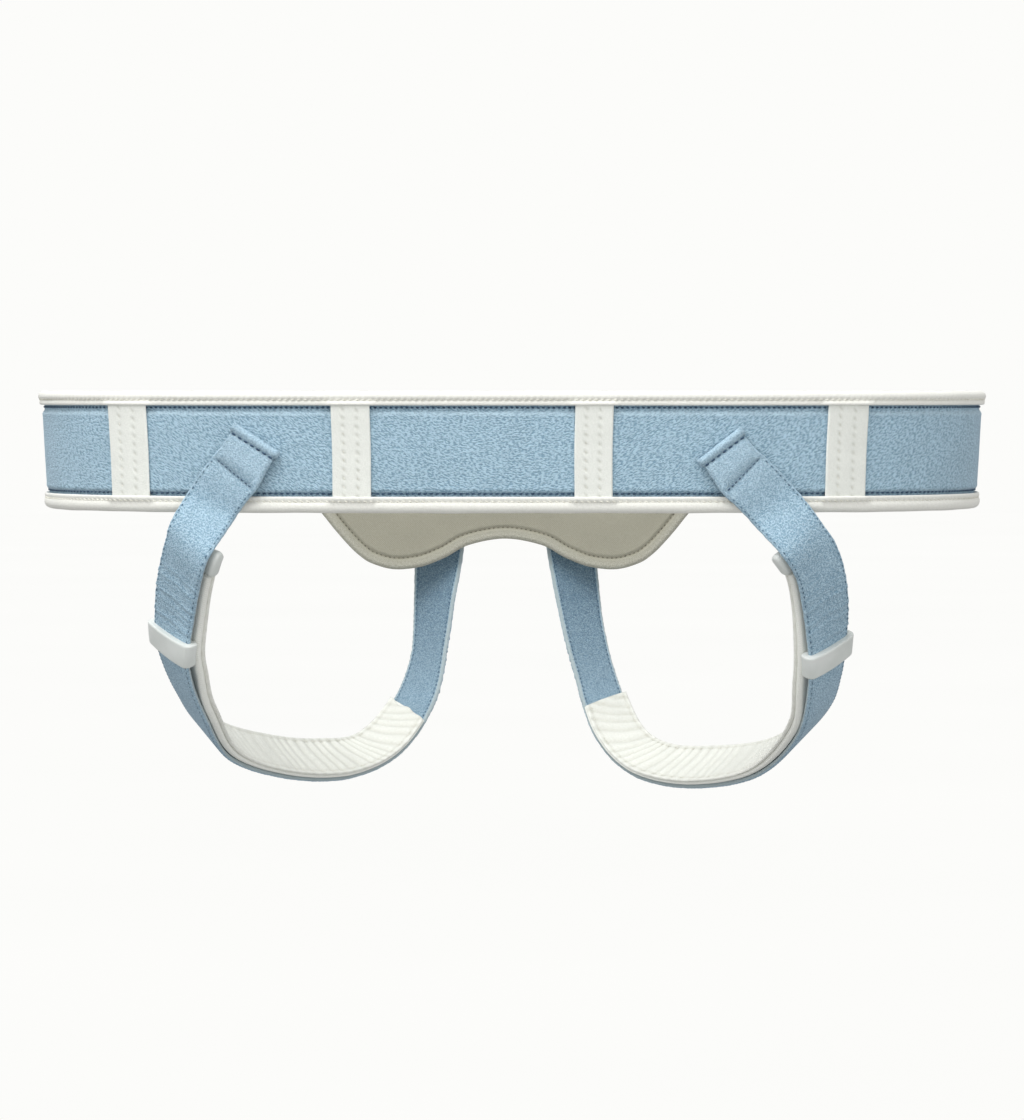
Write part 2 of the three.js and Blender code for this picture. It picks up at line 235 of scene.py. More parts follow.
BAND = BandCurve()
BAND_TOP = BAND.height / 2
BAND_THICKNESS = 4 * MM
LAYER_GAP = 0.3 * MM
BINDING_THICKNESS = 1 * MM
HEM_HALF = 1.5 * MM
OVER_BINDING = 1.8 * MM  # room for the binding between the panel and a strap
INSIDE_BINDING = 1.6 * MM
ON_PANEL = BAND_THICKNESS + LAYER_GAP
STRAP_THICKNESS = 2 * MM
STRAP_ON_PANEL = ON_PANEL + HEM_HALF
STRAP_OVER_BINDING = ON_PANEL + OVER_BINDING + STRAP_THICKNESS / 2
STRAP_IN_BAND = -(INSIDE_BINDING + STRAP_THICKNESS / 2)
PAD_BACK = STRAP_IN_BAND - STRAP_THICKNESS / 2 - LAYER_GAP


@dataclass(frozen=True)
class StrapRoute:
    """Where a leg strap runs, as shares of the band's and the strap's sizes.

    tab rows are across, high, lift; hanging rows are across, depth, down, swing, rise; root rows are across,
    high. Shares of the strap's length say where the loop and the lining are.
    """

    side: int
    loop_at: float
    lining_from: float
    lining_to: float
    tab: tuple[tuple[float, float, float], ...]
    hanging: tuple[tuple[float, float, float, float, float], ...]
    root: tuple[tuple[float, float], ...]


LEFT_ROUTE = StrapRoute(
    side=-1,
    loop_at=0.222,
    lining_from=0.14,
    lining_to=0.71,
    tab=((0.523, 0.12, 0), (0.566, -0.15, 0.7), (0.592, -0.28, 1), (0.62, -0.44, 1)),
    hanging=(
        (0.667, -1.015, 0.11, 32, 34),
        (0.69, -0.95, 0.24, 34, 27),
        (0.702, -0.89, 0.35, 38, 24),
        (0.71, -0.82, 0.5, 49, 21),
        (0.702, -0.76, 0.59, 51, 24),
        (0.678, -0.64, 0.715, 46, 32),
        (0.637, -0.4, 0.865, 43, 40),
        (0.53, -0.11, 0.957, 42, 43),
        (0.405, 0.18, 0.995, 36, 38),
        (0.3, 0.465, 0.955, 25, 14),
        (0.223, 0.725, 0.795, 30, -4),
        (0.19, 0.885, 0.6, 42, -12),
        (0.179, 0.97, 0.4, 34, -5),
        (0.172, 0.998, 0.27, 20, -2),
        (0.168, 0.993, 0.17, 7, 0),
        (0.164, 0.982, 0.08, 2, 0),
    ),
    root=((0.16, -0.5), (0.15, -0.16)),
)
RIGHT_ROUTE = StrapRoute(
    side=1,
    loop_at=0.238,
    lining_from=0.14,
    lining_to=0.73,
    tab=((0.425, 0.07, 0), (0.472, -0.17, 0.8), (0.499, -0.27, 1), (0.54, -0.44, 1)),
    hanging=(
        (0.599, -1.017, 0.095, 28, 40),
        (0.632, -0.975, 0.185, 24, 33),
        (0.652, -0.905, 0.325, 27, 23),
        (0.66, -0.806, 0.52, 43, 20),
        (0.656, -0.724, 0.65, 45, 25),
        (0.64, -0.595, 0.775, 42, 33),
        (0.563, -0.267, 0.945, 39, 38),
        (0.437, 0.034, 1.013, 38, 40),
        (0.315, 0.328, 1.01, 28, 27),
        (0.243, 0.543, 0.92, 20, 4),
        (0.19, 0.8, 0.69, 30, -8),
        (0.166, 0.905, 0.53, 31, -5),
        (0.153, 0.965, 0.4, 27, -1),
        (0.143, 0.995, 0.27, 17, 0),
        (0.137, 0.993, 0.17, 6, 1),
        (0.133, 0.982, 0.08, 2, 1),
    ),
    root=((0.13, -0.5), (0.122, -0.16)),
)


class StrapPath:
    """The middle line of a leg strap, with the directions across it and out of its outer face."""

    STEP = 1e-4  # share of the line over which its direction is taken
    DIVISIONS = 600
    DROP = 0.106  # from the band's lower edge to the lowest point that a route can reach

    def __init__(self, route: StrapRoute) -> None:
        """Lays the middle line through the rows of a route.

        Args:
            route: the strap's route.
        """
        self.side = route.side
        points, outwards = [], []
        for across, high, lift in route.tab:
            offset = STRAP_ON_PANEL + (STRAP_OVER_BINDING - STRAP_ON_PANEL) * lift
            self._add_on_band(points, outwards, across, -1, offset, high)
        for across, depth, down, _, _ in route.hanging:
            x, y = self.side * across * BAND.breadth / 2, depth * BAND.depth / 2
            points.append(np.array([x, y, -BAND_TOP - down * self.DROP]))
            outwards.append(None)
        for across, high in route.root:
            self._add_on_band(points, outwards, across, 1, STRAP_IN_BAND, high)
        self.line = Spline(np.array(points))
        self.across = Spline(np.array(self._directions(route, outwards)))
        shares = np.linspace(0.0, 1.0, self.DIVISIONS + 1)
        self.shares, self.lengths = shares, reaches(self.line.at(shares))
        self.length = float(self.lengths[-1])

    def _add_on_band(
        self, points: list, outwards: list, across: float, near: int, offset: float, high: float
    ) -> None:
        """Adds a row that lies on the band: its point, and the direction out of the band there.

        Args:
            points: the rows so far, which gain one.
            outwards: the directions so far, which gain one.
            across: its share of half the breadth.
            near: -1 on the near side, 1 on the far side.
            offset: how far it is out from the band's inner face.
            high: its height, as a share of the band's.
        """
        share = np.array([self.side * across])
        deep = near * (1 - np.abs(share) ** BAND.squareness) ** (1 / BAND.squareness)
        height = np.array([high * BAND.height])
        points.append(BAND.on_plan(share, deep, np.array([offset]), height)[0])
        outwards.append(BAND.outward(share, deep)[0])

    def _directions(self, route: StrapRoute, outwards: list) -> list[Array]:
        """The direction to the strap's outer edge at each row.

        Args:
            route: the strap's route.
            outwards: the directions out of the band, or None off it.

        Returns:
            One direction for each row.
        """
        directions, first = [], len(route.tab)
        for row, outward in enumerate(outwards):
            if outward is None:
                swing, rise = (math.radians(angle) for angle in route.hanging[row - first][3:])
                level = np.array([self.side * math.cos(swing), math.sin(swing)]) * math.cos(rise)
                turned = np.array([*level, math.sin(rise)])
            else:
                turned = unit(np.cross(outward, self._tangent(np.array([row / self.line.spans]))[0]))
                turned = turned * np.sign(turned[0]) * self.side
            directions.append(turned)
        return directions

    def _tangent(self, share: Array) -> Array:
        """The direction along the middle line."""
        return unit(self.line.at(share + self.STEP) - self.line.at(share - self.STEP))

    def place(self, along: Array, sideways: Array, out: Array) -> Array:
        """Points at a distance along the strap, moved towards its outer edge and out of its outer face.

        Args:
            along: distances along it.
            sideways: distances to the strap's outer edge.
            out: distances out of its outer face.

        Returns:
            One row for each point.
        """
        share = np.interp(along, self.lengths, self.shares)
        tangent, across = self._tangent(share), self.across.at(share)
        across = unit(across - tangent * np.sum(across * tangent, axis=1, keepdims=True))
        outward = np.cross(across, tangent) * -self.side
        return self.line.at(share) + across * sideways[:, None] + outward * out[:, None]


# Finishes


class Wire:
    """A value in a material, on which sums can be written."""

    def __init__(self, tree: bpy.types.NodeTree, socket: bpy.types.NodeSocket) -> None:
        """Stands for an output among a material's nodes."""
        self.tree, self.socket = tree, socket

    def _math(self, operation: str, *values: "Wire | float") -> "Wire":
        """Adds one Math node.

        Args:
            operation: its operation.
            values: what goes into it, in order.

        Returns:
            Its result.
        """
        node = self.tree.nodes.new("ShaderNodeMath")
        node.operation = operation
        for value, socket in zip(values, node.inputs):
            connect(self.tree, value, socket)
        return Wire(self.tree, node.outputs[0])

    def __add__(self, other: "Wire | float") -> "Wire":
        """The sum."""
        return self._math("ADD", self, other)

    __radd__ = __add__

    def __sub__(self, other: "Wire | float") -> "Wire":
        """The difference."""
        return self._math("SUBTRACT", self, other)

    def __rsub__(self, other: "Wire | float") -> "Wire":
        """The difference, with the number first."""
        return self._math("SUBTRACT", other, self)

    def __mul__(self, other: "Wire | float") -> "Wire":
        """The product."""
        return self._math("MULTIPLY", self, other)

    __rmul__ = __mul__

    def step(self, low: float, high: float) -> "Wire":
        """Goes smoothly from 0 where this is low to 1 where it is high.

        Args:
            low: where it starts.
            high: where it ends.

        Returns:
            The result.
        """
        node = self.tree.nodes.new("ShaderNodeMapRange")
        node.interpolation_type = "SMOOTHSTEP"
        connect(self.tree, self, node.inputs["Value"])
        connect(self.tree, low, node.inputs["From Min"])
        connect(self.tree, high, node.inputs["From Max"])
        return Wire(self.tree, node.outputs["Result"])

    def sine(self) -> "Wire":
        """The sine."""
        return self._math("SINE", self)


def connect(tree: bpy.types.NodeTree, value: "Wire | float | tuple", socket: bpy.types.NodeSocket) -> None:
    """Links a value to a socket, or sets the socket to a number or a colour.

    Args:
        tree: the material's nodes.
        value: a link, a number or a colour.
        socket: the input that takes it.
    """
    if isinstance(value, Wire):
        tree.links.new(value.socket, socket)
    else:
        socket.default_value = value


Colour = tuple[float, float, float]


def linear(colour: Colour) -> tuple[float, float, float, float]:
    """Turns a colour as it looks on a screen, from 0 to 255, into the shader's own numbers."""
    shares = [value / 255 for value in colour]
    return (*(s / 12.92 if s <= 0.04045 else ((s + 0.055) / 1.055) ** 2.4 for s in shares), 1.0)


class NodeBench:
    """Builds the nodes of one material."""

    def __init__(self, name: str) -> None:
        """Starts an empty material of this name.

        Args:
            name: the material's name.
        """
        self.material = bpy.data.materials.new(name)
        self.material.use_nodes = True
        self.tree = self.material.node_tree
        self.tree.nodes.clear()

    def add(self, kind: str, settings: dict, inputs: dict, output: str | int = 0) -> Wire:
        """Adds a node.

        Args:
            kind: the node's type, without its prefix.
            settings: what is set on the node itself.
            inputs: the values or links of its sockets.
            output: which of its results is wanted.

        Returns:
            That result.
        """
        node = self.tree.nodes.new("ShaderNode" + kind)
        for key, value in settings.items():
            setattr(node, key, value)
        for key, value in inputs.items():
            connect(self.tree, value, node.inputs[key])
        return Wire(self.tree, node.outputs[output])

    def attribute(self, name: str, output: str = "Fac") -> Wire:
        """A piece's own values at each point."""
        return self.add("Attribute", {"attribute_name": name}, {}, output)

    def flat(self) -> Wire:
        """Where the point lay on the flat piece: across, along and through it."""
        return self.attribute(FLAT, "Vector")

    def stretched(self, vector: Wire, scale: tuple[float, float, float], turn: float = 0.0) -> Wire:
        """A vector turned in the cloth's plane, and then scaled along each axis.

        Args:
            vector: the vector.
            scale: one number for each axis.
            turn: the angle, in radians.

        Returns:
            The changed vector.
        """
        kind = {"vector_type": "POINT"}
        turned = self.add("Mapping", kind, {"Vector": vector, "Rotation": (0.0, 0.0, turn)})
        return self.add("Mapping", kind, {"Vector": turned, "Scale": scale})

    def parts(self, vector: Wire) -> tuple[Wire, Wire, Wire]:
        """The three numbers of a vector.

        Args:
            vector: the vector.

        Returns:
            The numbers, as links.
        """
        node = self.tree.nodes.new("ShaderNodeSeparateXYZ")
        self.tree.links.new(vector.socket, node.inputs[0])
        return tuple(Wire(self.tree, output) for output in node.outputs)

    def joined(self, x: Wire, y: Wire, z: Wire) -> Wire:
        """A vector from its three numbers."""
        return self.add("CombineXYZ", {}, {0: x, 1: y, 2: z})

    def noise(
        self, vector: Wire, scale: float, detail: float = 2.0, rough: float = 0.5, bend: float = 0.0
    ) -> Wire:
        """Smooth random values.

        Args:
            vector: where the values are read.
            scale: how many of its waves there are in a metre.
            detail: how many finer waves are added.
            rough: how strong those are.
            bend: how far it is distorted.

        Returns:
            Values round 0.5.
        """
        inputs = {"Vector": vector, "Scale": scale, "Detail": detail, "Roughness": rough, "Distortion": bend}
        return self.add("TexNoise", {"noise_dimensions": "3D"}, inputs, "Fac")

    def mix(
        self, share: "Wire | float", low: "Wire | tuple", high: "Wire | tuple", blend: str = "MIX"
    ) -> Wire:
        """A colour between two others.

        Args:
            share: how much of the second there is.
            low: the first colour.
            high: the second colour.
            blend: how they are put together.

        Returns:
            The mixed colour.
        """
        node = self.tree.nodes.new("ShaderNodeMix")
        node.data_type, node.blend_type = "RGBA", blend
        for value, socket in zip((share, low, high), (node.inputs[0], node.inputs[6], node.inputs[7])):
            connect(self.tree, value, socket)
        return Wire(self.tree, node.outputs[2])

    def finish(self, constants: dict, varying: dict, height: Wire, relief: float) -> bpy.types.Material:
        """Puts the shader and the output in.

        Args:
            constants: values that are the same all over.
            varying: links for what changes over the surface.
            height: the surface's fine height, from 0 to 1.
            relief: how deep that height is, in metres.

        Returns:
            The material.
        """
        normal = self.add("Bump", {}, {"Height": height, "Distance": relief, "Strength": 1.0})
        shader = self.add("BsdfPrincipled", {}, {**constants, **varying, "Normal": normal})
        self.add_output(shader)
        return self.material

    def add_output(self, shader: Wire) -> None:
        """Links a shader to the material's output."""
        output = self.tree.nodes.new("ShaderNodeOutputMaterial")
        self.tree.links.new(shader.socket, output.inputs["Surface"])


SLANT_TURN = 12.5  # how fast the crepe's grain turns from level to slanting, in radians a metre
SLANT_REACH = 0.045  # how far the slant draws it across the cloth, in metres


class Grain(Enum):
    """The kinds of surface that the cloths have."""

    PEBBLED = "pebbled"
    CREPE = "crepe"
    WOVEN = "woven"
    BRUSHED = "brushed"


@dataclass(frozen=True)
class Cloth:
    """A cloth finish: its colours as they look on a screen, its grain, and how it takes light.

    pit and crest colour the grain's hollows and tops. The groove colour darkens the seams and is also painted
    shade in the dents and furrows along them, under the bindings' edges and on the straps' inner faces. The
    edge colour lightens the folded edges by wear and is also painted highlight on the panel's upper ridge and
    the strap tabs; pale colours the bare edge strips.
    """

    MOTTLES: ClassVar[float] = 45.0  # slow changes of shade in a metre

    name: str
    grain: Grain
    pit: Colour
    crest: Colour
    groove: Colour
    wear_and_highlight: Colour
    pale: Colour = (205, 212, 206)
    size: float = 1.2 * MM
    relief: float = 0.25 * MM
    stretch: float = 1.0
    mottle: float = 0.05
    sheen: float = 0.15
    roughness: float = 0.88

    def _height(self, bench: NodeBench, flat: Wire) -> Wire:
        """The grain's height, from 0 to 1.

        Args:
            bench: the material's nodes.
            flat: where each point lay on the flat cloth.

        Returns:
            The height.
        """
        scale = 1 / self.size
        fine = bench.noise(flat, 2.9 * scale, detail=1.0)
        if self.grain is Grain.PEBBLED:
            coarse = bench.noise(flat, scale, detail=1.5, rough=0.55, bend=0.5).step(low=0.3, high=0.7)
            return coarse * 0.7 + fine * 0.3
        if self.grain is Grain.CREPE:
            across, along, deep = bench.parts(flat)
            drawn = across - (1 - (along * SLANT_TURN + math.pi / 2).sine()) * SLANT_REACH
            long = bench.joined(drawn, along * (1 / self.stretch), deep)
            coarse = bench.noise(long, scale, detail=1.5, bend=0.3).step(low=0.3, high=0.66)
            return coarse * 0.75 + fine * 0.25
        if self.grain is Grain.WOVEN:
            across, along, _ = bench.parts(flat)
            turn = TURN * scale
            weave = (across * turn).sine() * (along * turn).sine() * 0.5 + 0.5
            return weave * 0.5 + bench.noise(flat, 1.3 * scale) * 0.5
        long = bench.stretched(flat, (scale * 1.6, scale * 0.8, scale))
        return bench.noise(long, 1.0, detail=3.0, rough=0.65, bend=0.8) * 0.6 + fine * 0.4

    @cached_property
    def material(self) -> bpy.types.Material:
        """The material, made once.

        Returns:
            The material.
        """
        bench = NodeBench(self.name)
        flat = bench.flat()
        height = self._height(bench, flat)
        colour = bench.mix(height.step(0.2, 0.8), linear(self.pit), linear(self.crest))
        mottle = bench.noise(flat, self.MOTTLES, detail=3.0, rough=0.6)
        dim = 1 - self.mottle
        shade = bench.mix(mottle.step(0.3, 0.7), (dim, dim, dim, 1.0), (1.0, 1.0, 1.0, 1.0))
        colour = bench.mix(1.0, colour, shade, "MULTIPLY")
        colour = bench.mix(bench.attribute("pale"), colour, linear(self.pale))
        fray = bench.noise(flat, 1.4 / self.size).step(0.25, 0.7)
        # lighter edges: edge wear, and painted highlight on the panel's upper ridge and the strap tabs
        colour = bench.mix(bench.attribute("wear_and_highlight") * fray, colour, linear(self.wear_and_highlight))
        # darker seams, with painted shade in their dents, in furrows, under the bindings' edges and on the
        # straps' inner faces
        seam = bench.attribute("seam") * (fray * 0.5 + 0.5)
        colour = bench.mix(seam, colour, linear(self.groove))
        rough = self.roughness + (height - 0.5) * 0.1
        constants = {"Sheen Weight": self.sheen, "Sheen Roughness": 0.5, "Specular IOR Level": 0.25}
        return bench.finish(constants, {"Base Color": colour, "Roughness": rough}, height, self.relief)


@dataclass(frozen=True)
class Moulded:
    """Smooth moulded plastic with faint flow marks and slightly lighter patches."""

    name: str
    colour: Colour
    rubbed: Colour

    @cached_property
    def material(self) -> bpy.types.Material:
        """The material, made once.

        Returns:
            The material.
        """
        bench = NodeBench(self.name)
        place = bench.add("TexCoord", {}, {}, "Object")
        cloud = bench.noise(place, 60.0, detail=3.0)
        speck = bench.noise(place, 2200.0, detail=1.0)
        share = cloud.step(low=0.35, high=0.7)
        colour = bench.mix(share, linear(self.colour), linear(self.rubbed))
        rough = 0.34 + share * 0.1 + speck * 0.04
        height = cloud * 0.6 + speck * 0.4
        constants = {"Specular IOR Level": 0.5, "Coat Roughness": 0.3}
        return bench.finish(constants, {"Base Color": colour, "Roughness": rough}, height, relief=0.05 * MM)


@dataclass(frozen=True)
class Thread:
    """Twisted sewing thread."""

    name: str
    dark: Colour
    light: Colour

    @cached_property
    def material(self) -> bpy.types.Material:
        """The material, made once.

        Returns:
            The material.
        """
        bench = NodeBench(self.name)
        place = bench.add("TexCoord", {}, {}, "Object")
        cloud = bench.noise(place, 900.0)
        colour = bench.mix(cloud.step(0.3, 0.7), linear(self.dark), linear(self.light))
        rough = 0.75 + cloud * 0.2
        varying = {"Base Color": colour, "Roughness": rough}
        return bench.finish({"Sheen Weight": 0.1}, varying, cloud, relief=0.1 * MM)


BLUE_PEBBLED = Cloth(
    "blue_pebbled_cloth", Grain.CREPE, (134, 166, 187), (183, 212, 228), (62, 90, 114), (198, 221, 233),
    size=0.5 * MM, relief=0.3 * MM, stretch=2.5, mottle=0.05,
)
BLUE_STRAP = Cloth(
    "blue_strap_cloth", Grain.PEBBLED, (134, 167, 189), (186, 214, 230), (52, 80, 100), (192, 217, 231),
    pale=(176, 191, 195), size=0.56 * MM, relief=0.28 * MM, mottle=0.06,
)
CREAM_BINDING = Cloth(
    "cream_binding_cloth", Grain.BRUSHED, (230, 230, 222), (246, 246, 240), (184, 183, 170), (248, 248, 243),
    size=0.8 * MM, relief=0.16 * MM, mottle=0.03,
)
CREAM_TAPE = Cloth(
    "cream_tape_cloth", Grain.BRUSHED, (226, 229, 222), (242, 244, 238), (180, 181, 168), (247, 248, 244),
    size=0.9 * MM, relief=0.22 * MM, mottle=0.04,
)
CREAM_LINING = Cloth(
    "cream_lining_cloth", Grain.WOVEN, (232, 234, 226), (246, 247, 241), (205, 206, 194), (247, 248, 243),
    size=1.0 * MM, relief=0.12 * MM, mottle=0.02,
)
CREAM_TERRY = Cloth(
    "cream_terry_cloth", Grain.BRUSHED, (226, 227, 218), (244, 245, 238), (194, 193, 180), (246, 247, 242),
    size=1.1 * MM, relief=0.35 * MM, mottle=0.05,
)
PAD_CLOTH = Cloth(
    "pad_cloth", Grain.WOVEN, (156, 153, 136), (178, 175, 159), (124, 121, 103), (198, 197, 185),
    size=0.8 * MM, relief=0.14 * MM, mottle=0.04,
)
WHITE_PLASTIC = Moulded("white_moulded_plastic", (212, 217, 213), (225, 229, 226))
BLUE_THREAD = Thread("blue_thread", (38, 62, 88), (70, 98, 122))
PALE_BLUE_THREAD = Thread("pale_blue_thread", (52, 80, 102), (92, 124, 146))
CREAM_THREAD = Thread("cream_thread", (206, 205, 192), (238, 237, 227))
GREY_THREAD = Thread("grey_thread", (96, 93, 80), (132, 129, 112))

Finish = Cloth | Moulded | Thread


# Making the pieces


@dataclass(frozen=True)
class Relief:
    """What a flat piece becomes at each of its points.

    out is the height through the piece; the other three are shares from 0 to 1 for its finish: lighter edges
    (wear, and painted highlight), darker seams (with painted shade) and pale edge strips.
    """

    out: Array
    wear_and_highlight: Array | float = 0.0
    seam: Array | float = 0.0
    pale: Array | float = 0.0


def into_scene(bm: bmesh.types.BMesh, name: str, material: bpy.types.Material) -> bpy.types.Object:
    """Turns a shape, which is used up, into an object of this name and material.

    Args:
        bm: the shape.
        name: its name.
        material: its only material.

    Returns:
        The object.
    """
    mesh = bpy.data.meshes.new(name)
    bm.to_mesh(mesh)
    bm.free()
    mesh.materials.append(material)
    made = bpy.data.objects.new(name, mesh)
    bpy.context.scene.collection.objects.link(made)
    return made


def new_piece(bm: bmesh.types.BMesh, name: str, finish: Finish) -> bpy.types.Object:
    """Turns a finished shape into a piece of the belt.

    Args:
        bm: the shape, which is used up.
        name: the piece's name.
        finish: what it is made of.

    Returns:
        The piece.
    """
    bmesh.ops.recalc_face_normals(bm, faces=bm.faces[:])
    for face in bm.faces:
        face.smooth = True
    piece = into_scene(bm, name, finish.material)
    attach(piece, ROOT)
    return piece


def points_of(bm: bmesh.types.BMesh) -> Array:
    """The places of a shape's points, one row each."""
    return np.array([vert.co[:] for vert in bm.verts])


def move_points(bm: bmesh.types.BMesh, places: Array) -> None:
    """Puts a shape's points at these places."""
    for vert, place in zip(bm.verts, places.tolist()):
        vert.co = place


class FlatCloth:
    """A closed flat piece of cloth: x across it, y along it, and a lower and an upper face."""

    def __init__(
        self, width: float, length: float, columns: int, rows: int, ring: bool = False, crowd: float = 0.0
    ) -> None:
        """Lays the cloth out.

        Args:
            width: its size across.
            length: its size along.
            columns: how many faces it has across.
            rows: how many faces it has along.
            ring: whether its two ends are joined.
            crowd: how much its columns crowd towards its edges, from 0 to 1.5.
        """
        self.width, self.length, self.ring = width, length, ring
        self.bm = bmesh.new()
        bmesh.ops.create_grid(self.bm, x_segments=columns, y_segments=rows, size=0.5)
        upper = bmesh.ops.extrude_face_region(self.bm, geom=self.bm.faces[:])["geom"]
        raised = [item for item in upper if isinstance(item, bmesh.types.BMVert)]
        bmesh.ops.translate(self.bm, vec=(0.0, 0.0, 1.0), verts=raised)
        if ring:
            ends = [f for f in self.bm.faces if all(abs(abs(v.co.y) - 0.5) < 1e-6 for v in f.verts)]
            bmesh.ops.delete(self.bm, geom=ends, context="FACES")
        places = points_of(self.bm)
        across = places[:, 0] * 2
        if crowd:
            across = np.sin(across * crowd) / math.sin(crowd)
        self.x, self.y = across * width / 2, places[:, 1] * length
        self.face = places[:, 2] * 2 - 1

    def inset(self) -> Array:
        """How far each point is from the nearest edge."""
        side = self.width / 2 - np.abs(self.x)
        return side if self.ring else np.minimum(side, self.length / 2 - np.abs(self.y))

    def rounded(self, thickness: float, radius: float) -> Array:
        """The height of each point over the middle layer, for a piece with rounded edges."""
        return self.face * thickness / 2 * rolled(self.inset(), radius, least=0.12)

    def piece(self, relief: Relief, place: Place, name: str, finish: Finish, slot: str) -> bpy.types.Object:
        """Gives the cloth its relief, bends it into its place and makes it a piece of the belt.

        Args:
            relief: its heights, and the shares for its finish.
            place: turns along, across and height into points.
            name: the piece's name.
            finish: what it is made of.
            slot: not used.

        Returns:
            The piece.
        """
        flat = self.bm.verts.layers.float_vector.new(FLAT)
        shares = {"wear_and_highlight": relief.wear_and_highlight, "seam": relief.seam, "pale": relief.pale}
        laid = np.stack([self.x, self.y, relief.out], axis=1).tolist()
        values = [
            (self.bm.verts.layers.float.new(name), np.broadcast_to(value, self.x.shape).tolist())
            for name, value in shares.items()
        ]
        for index, vert in enumerate(self.bm.verts):
            vert[flat] = laid[index]
            for layer, value in values:
                vert[layer] = value[index]
        move_points(self.bm, place(self.y, self.x, relief.out))
        if self.ring:
            bmesh.ops.remove_doubles(self.bm, verts=self.bm.verts[:], dist=0.01 * MM)
        return new_piece(self.bm, name, finish)


def beads(count: int) -> tuple[bmesh.types.BMesh, Array]:
    """Makes many small beads of size 1 at the origin.

    Args:
        count: how many.

    Returns:
        The shape, and the number of the bead that each of its points belongs to.
    """
    bm = bmesh.new()
    bmesh.ops.create_uvsphere(bm, u_segments=6, v_segments=4, radius=0.5)
    number = bm.verts.layers.int.new("number")
    made = 1
    while made < count:
        copies = bmesh.ops.duplicate(bm, geom=[*bm.verts, *bm.edges, *bm.faces])["geom"]
        for vert in (item for item in copies if isinstance(item, bmesh.types.BMVert)):
            vert[number] += made
        made *= 2
    spare = [vert for vert in bm.verts if vert[number] >= count]
    bmesh.ops.delete(bm, geom=spare, context="VERTS")
    return bm, np.array([vert[number] for vert in bm.verts])


@dataclass
class Stitches:
    """Rows of stitches, laid out flat and then bent with the cloth that they hold."""

    length: float = 1.5 * MM
    width: float = 0.55 * MM
    height: float = 0.4 * MM
    pitch: float = 2.3 * MM

    def __post_init__(self) -> None:
        """Starts with no row."""
        self.rows: list[tuple[Array, Place]] = []

    def add(self, across: Array, along: Array, turn: Array, lift: Array, place: Place) -> None:
        """Adds stitches.

        Args:
            across: where each one is across the cloth.
            along: where each one is along it.
            turn: how far each one is turned from the direction along the cloth, in radians.
            lift: the height of each one's middle.
            place: bends the cloth.
        """
        values = (across, along, lift, turn, self.width, self.length, self.height)
        table = np.stack([np.broadcast_to(value, across.shape) for value in values], axis=1)
        self.rows.append((table, place))

    def row(
        self, across: float, start: float, end: float, lift: float, place: Place, turn: float = 0.0
    ) -> None:
        """Adds a straight row along the cloth, from start to end.

        Args:
            across: where the row is across the cloth.
            start: where it starts along the cloth.
            end: where it ends.
            lift: the height of its stitches.
            place: bends the cloth.
            turn: how far they are turned, in radians.
        """
        count = max(1, round((end - start) / self.pitch))
        along = start + (np.arange(count) + 0.5) * (end - start) / count
        self.add(np.full(count, across), along, np.array(turn), np.array(lift), place)

    def bar(self, along: float, start: float, end: float, lift: float, place: Place) -> None:
        """Adds a straight row across the cloth, from start to end.

        Args:
            along: where the row is along the cloth.
            start: where it starts across the cloth.
            end: where it ends.
            lift: the height of its stitches.
            place: bends the cloth.
        """
        count = max(1, round((end - start) / self.pitch))
        across = start + (np.arange(count) + 0.5) * (end - start) / count
        self.add(across, np.array(along), np.array(math.pi / 2), np.array(lift), place)

    def piece(self, name: str, finish: Finish, slot: str) -> bpy.types.Object:
        """All the stitches as one piece.

        Args:
            name: its name.
            finish: the thread.
            slot: not used.

        Returns:
            The piece.
        """
        table = np.vstack([row for row, _ in self.rows])
        bm, number = beads(len(table))
        spot, turn = table[number, :3], table[number, 3]
        local = points_of(bm) * table[number, 4:7]
        turned = [
            local[:, 0] * np.cos(turn) - local[:, 1] * np.sin(turn),
            local[:, 0] * np.sin(turn) + local[:, 1] * np.cos(turn),
            local[:, 2],
        ]
        flat, first = spot + np.stack(turned, axis=1), 0
        bent = flat.copy()
        for row, place in self.rows:
            own = (number >= first) & (number < first + len(row))
            bent[own] = place(flat[own, 1], flat[own, 0], flat[own, 2])
            first += len(row)
        move_points(bm, bent)
        return new_piece(bm, name, finish)


# The waistband, its tapes and its flap, and the groin pad


